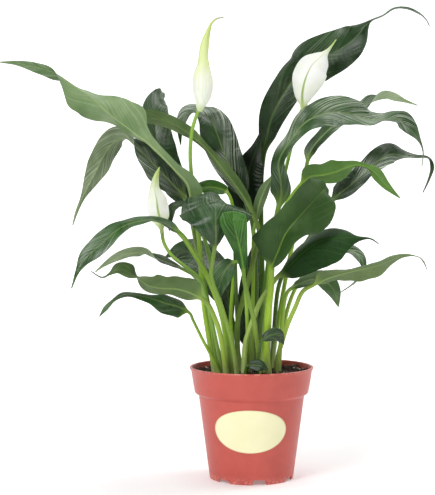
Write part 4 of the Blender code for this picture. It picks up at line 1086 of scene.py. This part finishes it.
def moist_peat():
    """Moist peat mix: near-black brown crumbs with rusty fibres, rough and dull."""
    material, tree, shader = new_material("moist_peat_mix")
    place_now = add(tree, "TexCoord", out="Object")
    crumb = add(tree, "TexNoise", (place_now, METRE / 3.125, 5.0, 0.65))
    fibre = add(tree, "TexNoise", (place_now, METRE / 1.429, 4.0, 0.7, 2.0, 2.0))
    share = add(tree, "MapRange", (crumb, 0.35, 0.65), **SMOOTH)
    colour = add(tree, "Mix", (share, linear("#170d08"), linear("#3a2417")), data_type="RGBA")
    share = add(tree, "MapRange", (fibre, 0.58, 0.72, 0.0, 0.7), **SMOOTH)
    colour = add(tree, "Mix", (share, colour, linear("#6b4226")), data_type="RGBA")
    tree.links.new(colour, shader.inputs["Base Color"])
    shader.inputs["Roughness"].default_value = 0.9
    rough = add(tree, "Math", (fibre, 0.5, crumb), operation="MULTIPLY_ADD")
    raised = add(tree, "Bump", {"Height": rough, "Distance": 1.2 * MM, "Strength": 0.8})
    tree.links.new(raised, shader.inputs["Normal"])
    return material


def bark_chip():
    """Composted bark: short dark red-brown chips, paler along torn edges."""
    material, tree, shader = new_material("composted_bark")
    place_now = add(tree, "TexCoord", out="Object")
    grain = add(tree, "TexNoise", (place_now, METRE / 2, 4.0, 0.65, 2.0, 1.0))
    patch = add(tree, "TexNoise", (place_now, METRE / 5.263, 1.0, 0.55))
    share = add(tree, "MapRange", (patch, 0.35, 0.65), **SMOOTH)
    colour = add(tree, "Mix", (share, linear("#1f120b"), linear("#4a2d1c")), data_type="RGBA")
    share = add(tree, "MapRange", (grain, 0.55, 0.75, 0.0, 0.6), **SMOOTH)
    colour = add(tree, "Mix", (share, colour, linear("#7b5233")), data_type="RGBA")
    tree.links.new(colour, shader.inputs["Base Color"])
    shader.inputs["Roughness"].default_value = 0.85
    raised = add(tree, "Bump", {"Height": grain, "Distance": 0.6 * MM, "Strength": 0.7})
    tree.links.new(raised, shader.inputs["Normal"])
    return material


def expanded_perlite():
    """Expanded perlite: white foamed glass grains, stained a little by the peat."""
    material, tree, shader = new_material("expanded_perlite")
    place_now = add(tree, "TexCoord", out="Object")
    stain = add(tree, "TexNoise", (place_now, METRE / 4.167, 3.0, 0.55))
    pores = add(tree, "TexNoise", (place_now, METRE / 0.4545, 2.0, 0.55))
    share = add(tree, "MapRange", (stain, 0.42, 0.68), **SMOOTH)
    colour = add(tree, "Mix", (share, linear("#e8e2d6"), linear("#a08c74")), data_type="RGBA")
    share = add(tree, "Math", (pores, 0.35), operation="MULTIPLY")
    colour = add(tree, "Mix", (share, colour, linear("#8b7c6b")), data_type="RGBA")
    tree.links.new(colour, shader.inputs["Base Color"])
    shader.inputs["Roughness"].default_value = 0.8
    raised = add(tree, "Bump", {"Height": pores, "Distance": 0.3 * MM, "Strength": 0.6})
    tree.links.new(raised, shader.inputs["Normal"])
    return material


def backlit_acrylic(glow):
    """Opal acrylic sweep lit from behind: an even white glow with a barely seen cloudiness."""
    material, tree, shader = new_material("backlit_opal_acrylic")
    place_now = add(tree, "TexCoord", out="Object")
    cloud = add(tree, "TexNoise", (place_now, METRE / 333.3, 2.0, 0.55))
    colour = add(tree, "Mix", (cloud, linear("#f0f0f0"), linear("#f6f6f6")), data_type="RGBA")
    tree.links.new(colour, shader.inputs["Base Color"])
    tree.links.new(colour, shader.inputs["Emission Color"])
    reach = add(tree, "VectorMath", (place_now,), operation="LENGTH")
    lit = add(tree, "MapRange", (reach, 0.4, 1.6, 0.3 * glow, glow), **SMOOTH)
    tree.links.new(lit, shader.inputs["Emission Strength"])
    shader.inputs["Roughness"].default_value = 0.85
    return material


# ------------------------------------------------------------------ the pieces
def wall_radius(height):
    """Outer radius of the pot's plain cone at a height."""
    return FOOT_RADIUS + (SHOULDER_RADIUS - FOOT_RADIUS) * height / SHOULDER_HEIGHT


class LILY_OT_pot(bpy.types.Operator):
    """The pot: a profile turned about its axis, whose foot is lifted at each drain notch."""

    bl_idname = "lily.pot"
    bl_label = "Pot"

    def execute(self, context):
        settings = context.scene.lily.pot
        wall = settings.wall / MM
        angles = np.arange(POT_COLUMNS) * 2 * np.pi / POT_COLUMNS
        centres = np.radians(FIRST_NOTCH) + np.arange(NOTCHES) * 2 * np.pi / NOTCHES
        gap = np.angle(np.exp(1j * (angles[:, None] - centres)))
        nearest = np.degrees(np.abs(gap).min(axis=1))
        notch = 1 - smoothstep(
            NOTCH_HALF_ANGLE - NOTCH_EDGE, NOTCH_HALF_ANGLE + NOTCH_EDGE, nearest
        )
        depth = NOTCH_DEEP * notch * (0.75 + 0.25 * np.cos(5 * angles + 1.0))

        def row(radius, height):
            """A pair of radius and height at every angle of the pot."""
            return np.stack(np.broadcast_arrays(radius, height, angles), axis=-1)[:, :2]

        rise = np.linspace(6.5, SHOULDER_HEIGHT - 0.6, 14)
        band = [
            (57.3, 87.6), (59.1, 98.0), (60.7, 108.6), (61.1, 109.3), (61.9, 110.0), (62.1, 110.7)
        ]
        lip = [
            (62.1, 111.3), (61.8, 111.8), (61.2, 112.0), (60.4, 112.0), (59.9, 111.7), (59.6, 110.9)
        ]
        inside = [(57.7, 99.0), (55.5, 87.2), (54.8, 86.2), (51.7, 83.6), (51.2, 82.4)]
        inner_rise = np.linspace(76.0, 10.0, 8)
        rows = [row(0.0, 5.6), row(FOOT_RADIUS - wall - 4.0, 5.6), row(FOOT_RADIUS - wall, 5.4)]
        rows += [row(FOOT_RADIUS - wall - 0.1, depth + 0.25), row(FOOT_RADIUS - wall + 0.3, depth)]
        rows += [row(FOOT_RADIUS - 0.35, depth), row(wall_radius(depth + 0.3), depth + 0.3)]
        rows += [row(wall_radius(height), np.maximum(height, depth + 0.4)) for height in rise]
        rows += [row(53.0, 83.2), row(53.5, 83.9), row(56.3, 85.7), row(57.0, 86.4)]
        rows += [row(*pair) for pair in band + lip + inside]
        rows += [row(wall_radius(height) - wall, height) for height in inner_rise]
        rows += [row(FOOT_RADIUS - wall + 0.4, 8.0), row(0.0, 7.6)]
        grid = turned(np.stack(rows), angles)
        pot = make_mesh("moulded_pot", *closed_turn(grid), sharp=38.0)
        material = moulded_polypropylene(settings.plastic[:])
        place(pot, material, "pot_plastic", "grower_pot")
        return {"FINISHED"}


def closed_turn(grid):
    """Points and faces of a turned surface whose first and last rows lie on the axis."""
    inner = grid[1:-1]
    rows, columns = inner.shape[:2]
    points = np.vstack([inner.reshape(-1, 3), grid[0, :1], grid[-1, :1]])
    index = np.arange(rows * columns).reshape(rows, columns)
    after = np.roll(index, -1, axis=1)
    quads = np.stack([index[:-1], after[:-1], after[1:], index[1:]], axis=-1).reshape(-1, 4)
    first = np.full(columns, rows * columns)
    start = np.stack([after[0], index[0], first], axis=-1)
    end = np.stack([index[-1], after[-1], first + 1], axis=-1)
    return points, quads.tolist() + start.tolist() + end.tolist()


class LILY_OT_label(bpy.types.Operator):
    """The bare oval label: rings of an ellipse laid on the pot's cone, with a thin rounded edge."""

    bl_idname = "lily.label"
    bl_label = "Label"

    def execute(self, context):
        settings = context.scene.lily.pot
        angles = np.arange(LABEL_COLUMNS) * 2 * np.pi / LABEL_COLUMNS
        reach = np.array([0.0, 0.02, 0.25, 0.5, 0.75, 0.9, 0.965, 0.99, 1.0, 1.0, 0.9, 0.5, 0.0])
        lift = np.array([0.62] * 7 + [0.60, 0.52, 0.36, 0.33, 0.33, 0.33])
        height = LABEL_CENTRE + LABEL_HALF_HEIGHT * reach[:, None] * np.sin(angles)
        arc = LABEL_HALF_WIDTH * reach[:, None] * np.cos(angles) / wall_radius(LABEL_CENTRE)
        turn = np.radians(-90 + LABEL_TURN) + arc
        radius = wall_radius(height) + lift[:, None]
        grid = np.stack([radius * np.cos(turn), radius * np.sin(turn), height], axis=-1)
        points, faces = closed_turn(grid[::-1])
        label = make_mesh("bare_label", points, faces, sharp=50.0)
        rim = np.broadcast_to(reach[::-1][1:-1, None], (len(reach) - 2, len(angles))).ravel()
        mark(label, "rim", np.concatenate([rim, [0.0, 0.0]]))
        material = coated_label(settings.label[:])
        place(label, material, "label_paper", "blank_label")
        return {"FINISHED"}


def soil_height(points):
    """Height of the potting mix: long and short waves over a slight mound and a heap behind right."""
    settings = bpy.context.scene.lily.soil
    lumps = settings.roughness / MM
    long = waves(points, 11, 9.0, 26.0)
    short = waves(points, 12, 2.2, 6.0)
    mound = 1.6 * np.exp(-((points**2).sum(axis=-1) / 34.0**2))
    heap = 2.4 * np.exp(-(((points - (32.0, 22.0)) ** 2).sum(axis=-1) / 20.0**2))
    return SOIL_TOP - 0.6 + mound + heap + lumps * (0.8 * long + 0.45 * short)


class LILY_OT_soil(bpy.types.Operator):
    """The potting mix: a disc of radius and angle whose height is a sum of waves, with a plain side."""

    bl_idname = "lily.soil"
    bl_label = "Potting mix"

    def execute(self, context):
        angles = np.arange(SOIL_COLUMNS) * 2 * np.pi / SOIL_COLUMNS
        radii = np.linspace(0.0, SOIL_RADIUS, 68)
        flat = np.stack([radii[:, None] * np.cos(angles), radii[:, None] * np.sin(angles)], axis=-1)
        top = np.concatenate([flat, soil_height(flat)[..., None]], axis=-1)
        side = np.array([(57.0, 99.0), (54.6, 87.0), (50.8, 82.6), (41.8, 9.0), (0.0, 8.6)])
        below = turned(np.broadcast_to(side[:, None], (5, SOIL_COLUMNS, 2)), angles)
        grid = np.concatenate([top, below])
        grid[0] = grid[0].mean(axis=0)
        points, faces = closed_turn(grid[::-1])
        soil = make_mesh("peat_mix", points, faces, sharp=0)
        place(soil, moist_peat(), "potting_mix", "potting_mix")
        return {"FINISHED"}


def scattered(name, shape, faces, count, sizes, stretch, seed):
    """Many jittered copies of a small closed shape laid on the potting mix, as one mesh.

    Each copy is scaled, stretched, turned about Z, tipped, and pushed in and out at its points.
    """
    chance = np.random.default_rng(seed)
    radius = SCATTER_RADIUS * np.sqrt(chance.uniform(0.0, 1.0, count))
    angle = chance.uniform(0, 2 * np.pi, count)
    spot = np.stack([radius * np.cos(angle), radius * np.sin(angle)], axis=-1)
    size = chance.uniform(*sizes, count)[:, None, None]
    jitter = 1 + 0.25 * chance.normal(size=(count, len(shape), 1)).clip(-1.2, 1.2)
    copies = shape[None] * size * jitter * np.array(stretch)
    turn = chance.uniform(0, 2 * np.pi, count)
    tip = chance.normal(0, 0.5, count)
    c, s = np.cos(turn), np.sin(turn)
    ct, st = np.cos(tip), np.sin(tip)
    zero, one = np.zeros(count), np.ones(count)
    about_z = np.stack([c, -s, zero, s, c, zero, zero, zero, one], axis=-1).reshape(-1, 3, 3)
    about_x = np.stack([one, zero, zero, zero, ct, -st, zero, st, ct], axis=-1).reshape(-1, 3, 3)
    copies = np.einsum("nij,npj->npi", about_z @ about_x, copies)
    ground = np.concatenate([spot, soil_height(spot)[:, None]], axis=-1)
    ground[:, 2] += 0.25 * size[:, 0, 0]
    points = (copies + ground[:, None]).reshape(-1, 3)
    every = (np.array(faces)[None] + len(shape) * np.arange(count)[:, None, None]).reshape(-1, 3)
    return make_mesh(name, points, every.tolist(), sharp=0)


def crumb_shape():
    """A ball of twelve points and twenty faces: the corners of three golden rectangles."""
    g = (1 + 5**0.5) / 2
    corners = [(-1, g, 0), (1, g, 0), (-1, -g, 0), (1, -g, 0), (0, -1, g), (0, 1, g),
               (0, -1, -g), (0, 1, -g), (g, 0, -1), (g, 0, 1), (-g, 0, -1), (-g, 0, 1)]
    faces = [(0, 11, 5), (0, 5, 1), (0, 1, 7), (0, 7, 10), (0, 10, 11), (1, 5, 9), (5, 11, 4),
             (11, 10, 2), (10, 7, 6), (7, 1, 8), (3, 9, 4), (3, 4, 2), (3, 2, 6), (3, 6, 8),
             (3, 8, 9), (4, 9, 5), (2, 4, 11), (6, 2, 10), (8, 6, 7), (9, 8, 1)]
    return unit(np.array(corners, float)), faces


class LILY_OT_grains(bpy.types.Operator):
    """White perlite grains and dark bark chips pressed into the top of the potting mix."""

    bl_idname = "lily.grains"
    bl_label = "Perlite and bark"

    def execute(self, context):
        settings = context.scene.lily.soil
        shape, faces = crumb_shape()
        grains = scattered(
            "perlite_grains", shape, faces, settings.perlite, (0.5, 1.3), (1, 1, 0.8), 21
        )
        place(grains, expanded_perlite(), "potting_mix")
        chips = scattered(
            "bark_chips", shape, faces, settings.bark, (0.9, 2.2), (1.6, 0.8, 0.35), 22
        )
        place(chips, bark_chip(), "potting_mix")
        return {"FINISHED"}


def leaf_look(context, **changes):
    """The leaf settings in millimetres, with changes for another kind of blade."""
    settings = context.scene.lily.leaf
    look = {
        "thickness": settings.thickness / MM,
        "vein_spacing": settings.vein_spacing / MM,
        "vein_depth": settings.vein_depth / MM,
        "margin_wave": settings.margin_wave / MM,
        "columns": settings.columns,
        "rib": 0.55,
        "arch": 0.05,
    }
    look.update(changes)
    return look


class LILY_OT_leaves(bpy.types.Operator):
    """The leaves: each one grown piece of stalk and blade, carried along its own midrib."""

    bl_idname = "lily.leaves"
    bl_label = "Leaves"

    def execute(self, context):
        look = leaf_look(context)
        count = context.scene.lily.leaf.stations
        materials = {tone: waxy_leaf(tone) for tone in TONES}
        for seed, (name, side, radius, tone, petiole, blade) in enumerate(LEAVES):
            first = blade[0]
            stalk = [(x, y, z, first[3], radius, first[5]) for x, y, z in petiole]
            stalk[0] = (*stalk[0][:2], STALK_START, *stalk[0][3:])
            curve = spline(stalk + list(blade))
            split = SPAN_STEPS * len(petiole)
            low = spaced(curve[: split + 1], STALK_STATIONS)
            high = spaced(curve[split:], count)
            rows = np.vstack([low, high[1:]])
            rows[:, 4] = np.maximum(rows[:, 4], FINEST_HALF_WIDTH)
            rings, reads = leaf_rings(rows, len(low), side, radius, look, 100 + seed)
            leaf = leaf_piece(f"living_{name}", rings, reads, look["columns"])
            place(leaf, materials[tone], "leaf", f"leaf_{name}")
        return {"FINISHED"}


class LILY_OT_stalks(bpy.types.Operator):
    """The flower stalks: a circle carried along a smooth line, wider at the soil."""

    bl_idname = "lily.stalks"
    bl_label = "Flower stalks"

    def execute(self, context):
        material = waxy_stalk()
        angles = np.arange(20) * 2 * np.pi / 20
        for name, radius, line in FLOWER_STALKS:
            rows = spaced(spline(line), 110)
            share = np.linspace(0, 1, len(rows))
            normal, right = frames(rows, np.zeros(len(rows)), 1)
            foot = 1 + 0.3 * np.exp(-(((rows[:, 2] - STALK_START) / FOOT_SPREAD) ** 2))
            size = (radius * foot * (1 - 0.12 * share))[:, None] * (1 + 0.03 * np.cos(5 * angles))
            circle = outward(normal, right, angles)
            rings = rows[:, None] + circle * size[..., None]
            stalk = make_tube(f"living_stalk_{name}", rings, sharp=60.0)
            mark(stalk, "along", np.broadcast_to(share[:, None], (len(rows), 20)))
            place(stalk, material, "flower_stalk", f"flower_{name}_stalk")
        return {"FINISHED"}


class LILY_OT_open_spathes(bpy.types.Operator):
    """The open spathes: a cupped blade, thin and nearly smooth, drawn out to a fine tip."""

    bl_idname = "lily.open_spathes"
    bl_label = "Open spathes"

    def execute(self, context):
        look = leaf_look(
            context, thickness=0.7, vein_depth=0.05, margin_wave=0.7, rib=0.45, arch=-0.09
        )
        limes = {"open": (0.16, 0.72), "left": (0.35, 0.45)}
        for seed, (name, side, table) in enumerate(OPEN_SPATHES):
            rows = spaced(spline(table), 120)
            rows[:, 4] = np.maximum(rows[:, 4], FINEST_HALF_WIDTH)
            rings, reads = leaf_rings(rows, 6, side, 2.0, look, 200 + seed)
            spathe = leaf_piece(f"living_spathe_{name}", rings, reads, look["columns"])
            material = petal_spathe(f"petal_spathe_{name}", *limes[name])
            place(spathe, material, "spathe", f"flower_{name}_spathe")
        return {"FINISHED"}


class LILY_OT_rolled_spathe(bpy.types.Operator):
    """The rolled spathe: a sheet wound one and a third turns round a spindle, its edge lying proud.

    The sheet's radius grows with the wound angle, so that the outer edge laps over the inner
    one, and both taper into the tip.
    """

    bl_idname = "lily.rolled_spathe"
    bl_label = "Rolled spathe"

    def execute(self, context):
        rows = spaced(spline(ROLLED_SPATHE), 150)
        share = np.linspace(0, 1, len(rows))[:, None]
        normal, right = frames(rows[:, :3], np.zeros(len(rows)), 1)
        wound = np.linspace(WOUND_FROM, WOUND_TO, 64)
        lap = 0.10 * wound + 0.5
        size = rows[:, 3, None]
        outer = size * (0.90 + lap * 0.2) * (1 + 0.02 * np.sin(9 * np.pi * wound + 14 * share))
        inner = outer - np.minimum(0.6, 0.35 * size)
        twist = 2 * np.pi * wound + 1.15 + 1.6 * share

        def sheet(radius):
            """The rolled petal's section: points at the given radius along a wound turn."""
            across = right[:, None] * np.cos(twist)[..., None]
            back = normal[:, None] * np.sin(twist)[..., None]
            return rows[:, None, :3] + (across + back) * radius[..., None]

        rings = np.concatenate([sheet(outer), sheet(inner)[:, ::-1]], axis=1)
        spathe = make_tube("living_spathe_tall", rings, sharp=60.0)
        mark(spathe, "along", np.broadcast_to(share, rings.shape[:2]))
        round_share = np.concatenate([wound, wound[::-1]]) / 0.72
        mark(spathe, "across", np.broadcast_to(round_share, rings.shape[:2]))
        place(spathe, rolled_petal(), "spathe", "flower_tall_spathe")
        return {"FINISHED"}


class LILY_OT_spadices(bpy.types.Operator):
    """The spadices: a round finger whose radius rises at knobs set on two crossing spirals."""

    bl_idname = "lily.spadices"
    bl_label = "Spadices"

    def execute(self, context):
        material = flowering_spadix()
        angles = np.arange(SPADIX_COLUMNS) * 2 * np.pi / SPADIX_COLUMNS
        for name, radius, line in SPADICES:
            rows = spaced(spline(line), 130)
            share = np.linspace(0, 1, len(rows))[:, None]
            along = lengths_along(rows)[:, None]
            normal, right = frames(rows, np.zeros(len(rows)), 1)
            pitch = 2 * np.pi / 2.4
            knob = np.cos(5 * angles + pitch * along) * np.cos(8 * angles - pitch * along)
            knob = np.clip(0.5 + 0.5 * knob, 0, 1)
            ends = np.sqrt(np.clip(1 - np.clip((share - 0.88) / 0.12, 0, 1) ** 2, 0.01, 1))
            size = radius * ends * smoothstep(-0.25, 0.12, share) + 0.45 * (knob - 0.5) * ends
            circle = outward(normal, right, angles)
            rings = rows[:, None] + circle * size[..., None]
            spadix = make_tube(f"living_spadix_{name}", rings, sharp=0)
            mark(spadix, "knob", knob)
            place(spadix, material, "spadix", f"flower_{name}_spadix")
        return {"FINISHED"}


def aim_at(thing, target):
    """Turns a camera or a light to look at a point."""
    way = np.array(target) - np.array(thing.location)
    thing.rotation_euler = (
        np.arctan2(np.hypot(way[0], way[1]), -way[2]),
        0.0,
        np.arctan2(-way[0], way[1]),
    )


class LILY_OT_stage(bpy.types.Operator):
    """The studio: a backlit acrylic sweep, four soft lights, a dim white room and the camera.

    The sweep is a flat floor that turns up into a wall through a quarter circle.
    """

    bl_idname = "lily.stage"
    bl_label = "Stage"

    def execute(self, context):
        scene = context.scene
        settings = scene.lily.stage
        turn = np.linspace(0, np.pi / 2, 16)
        curve_y = SWEEP_FLAT + SWEEP_CURVE * np.sin(turn[1:])
        curve_z = SWEEP_CURVE * (1 - np.cos(turn[1:]))
        sweep_y = np.concatenate([[-SWEEP_FLAT, SWEEP_FLAT], curve_y, curve_y[-1:]])
        sweep_z = np.concatenate([[0.0, 0.0], curve_z, [SWEEP_TOP]])
        width = np.linspace(-SWEEP_HALF_WIDTH, SWEEP_HALF_WIDTH, 9)
        grid = np.stack(np.broadcast_arrays(width, sweep_y[:, None], sweep_z[:, None]), axis=-1)
        index = np.arange(grid.shape[0] * grid.shape[1]).reshape(grid.shape[:2])
        quads = np.stack([index[:-1, :-1], index[:-1, 1:], index[1:, 1:], index[1:, :-1]], axis=-1)
        faces = quads.reshape(-1, 4).tolist()
        paper = make_mesh("studio_sweep", grid.reshape(-1, 3), faces, sharp=0)
        paper.data.materials.append(backlit_acrylic(settings.glow))

        lights = [
            ("key", (-1.2, -1.5, 1.5), 0.9, settings.key),
            ("fill", (1.5, -1.5, 0.7), 1.4, settings.fill),
            ("top", (0.0, 0.1, 1.9), 1.0, settings.top),
            ("rim", (1.3, 0.5, 1.6), 0.8, settings.rim),
        ]
        for name, spot, size, power in lights:
            lamp = bpy.data.lights.new(f"{name}_light", "AREA")
            lamp.energy = power
            lamp.size = size
            light = bpy.data.objects.new(f"{name}_light", lamp)
            light.location = spot
            aim_at(light, (0.0, 0.0, 0.24))
            scene.collection.objects.link(light)

        world = bpy.data.worlds.new("studio_room")
        world.use_nodes = True
        world.node_tree.nodes["Background"].inputs["Color"].default_value = (1.0, 1.0, 1.0, 1.0)
        world.node_tree.nodes["Background"].inputs["Strength"].default_value = settings.room
        scene.world = world
        scene.view_settings.view_transform = "Standard"

        lens = bpy.data.cameras.new("studio_camera")
        lens.lens = settings.lens
        lens.sensor_width = 36.0
        lens.sensor_fit = "AUTO"
        camera = bpy.data.objects.new("studio_camera", lens)
        aim = settings.aim[:]
        camera.location = (aim[0], -settings.distance, settings.height)
        aim_at(camera, aim)
        scene.collection.objects.link(camera)
        scene.camera = camera
        return {"FINISHED"}


PIECES = (
    LILY_OT_pot,
    LILY_OT_label,
    LILY_OT_soil,
    LILY_OT_grains,
    LILY_OT_leaves,
    LILY_OT_stalks,
    LILY_OT_open_spathes,
    LILY_OT_rolled_spathe,
    LILY_OT_spadices,
    LILY_OT_stage,
)


class LILY_PT_panel(bpy.types.Panel):
    """The settings and the button of each piece, in the 3D view's sidebar."""

    bl_label = "Potted peace lily"
    bl_idname = "LILY_PT_panel"
    bl_space_type = "VIEW_3D"
    bl_region_type = "UI"
    bl_category = "Lily"

    def draw(self, context):
        settings = context.scene.lily
        for group in (settings.leaf, settings.pot, settings.soil, settings.stage):
            box = self.layout.box()
            for name in group.__annotations__:
                box.prop(group, name)
        for piece in PIECES:
            self.layout.operator(piece.bl_idname)


GROUPS = (LilyLeafSettings, LilyPotSettings, LilySoilSettings, LilyStageSettings, LilySettings)
CLASSES = GROUPS + PIECES + (LILY_PT_panel,)


def register():
    for made in CLASSES:
        bpy.utils.register_class(made)
    bpy.types.Scene.lily = PointerProperty(type=LilySettings)


def unregister():
    del bpy.types.Scene.lily
    for made in reversed(CLASSES):
        bpy.utils.unregister_class(made)


def main():
    """Builds every piece in order."""
    register()
    for piece in PIECES:
        group, name = piece.bl_idname.split(".")
        getattr(getattr(bpy.ops, group), name)()
    bpy.context.view_layer.update()


if __name__ == "__main__":
    main()
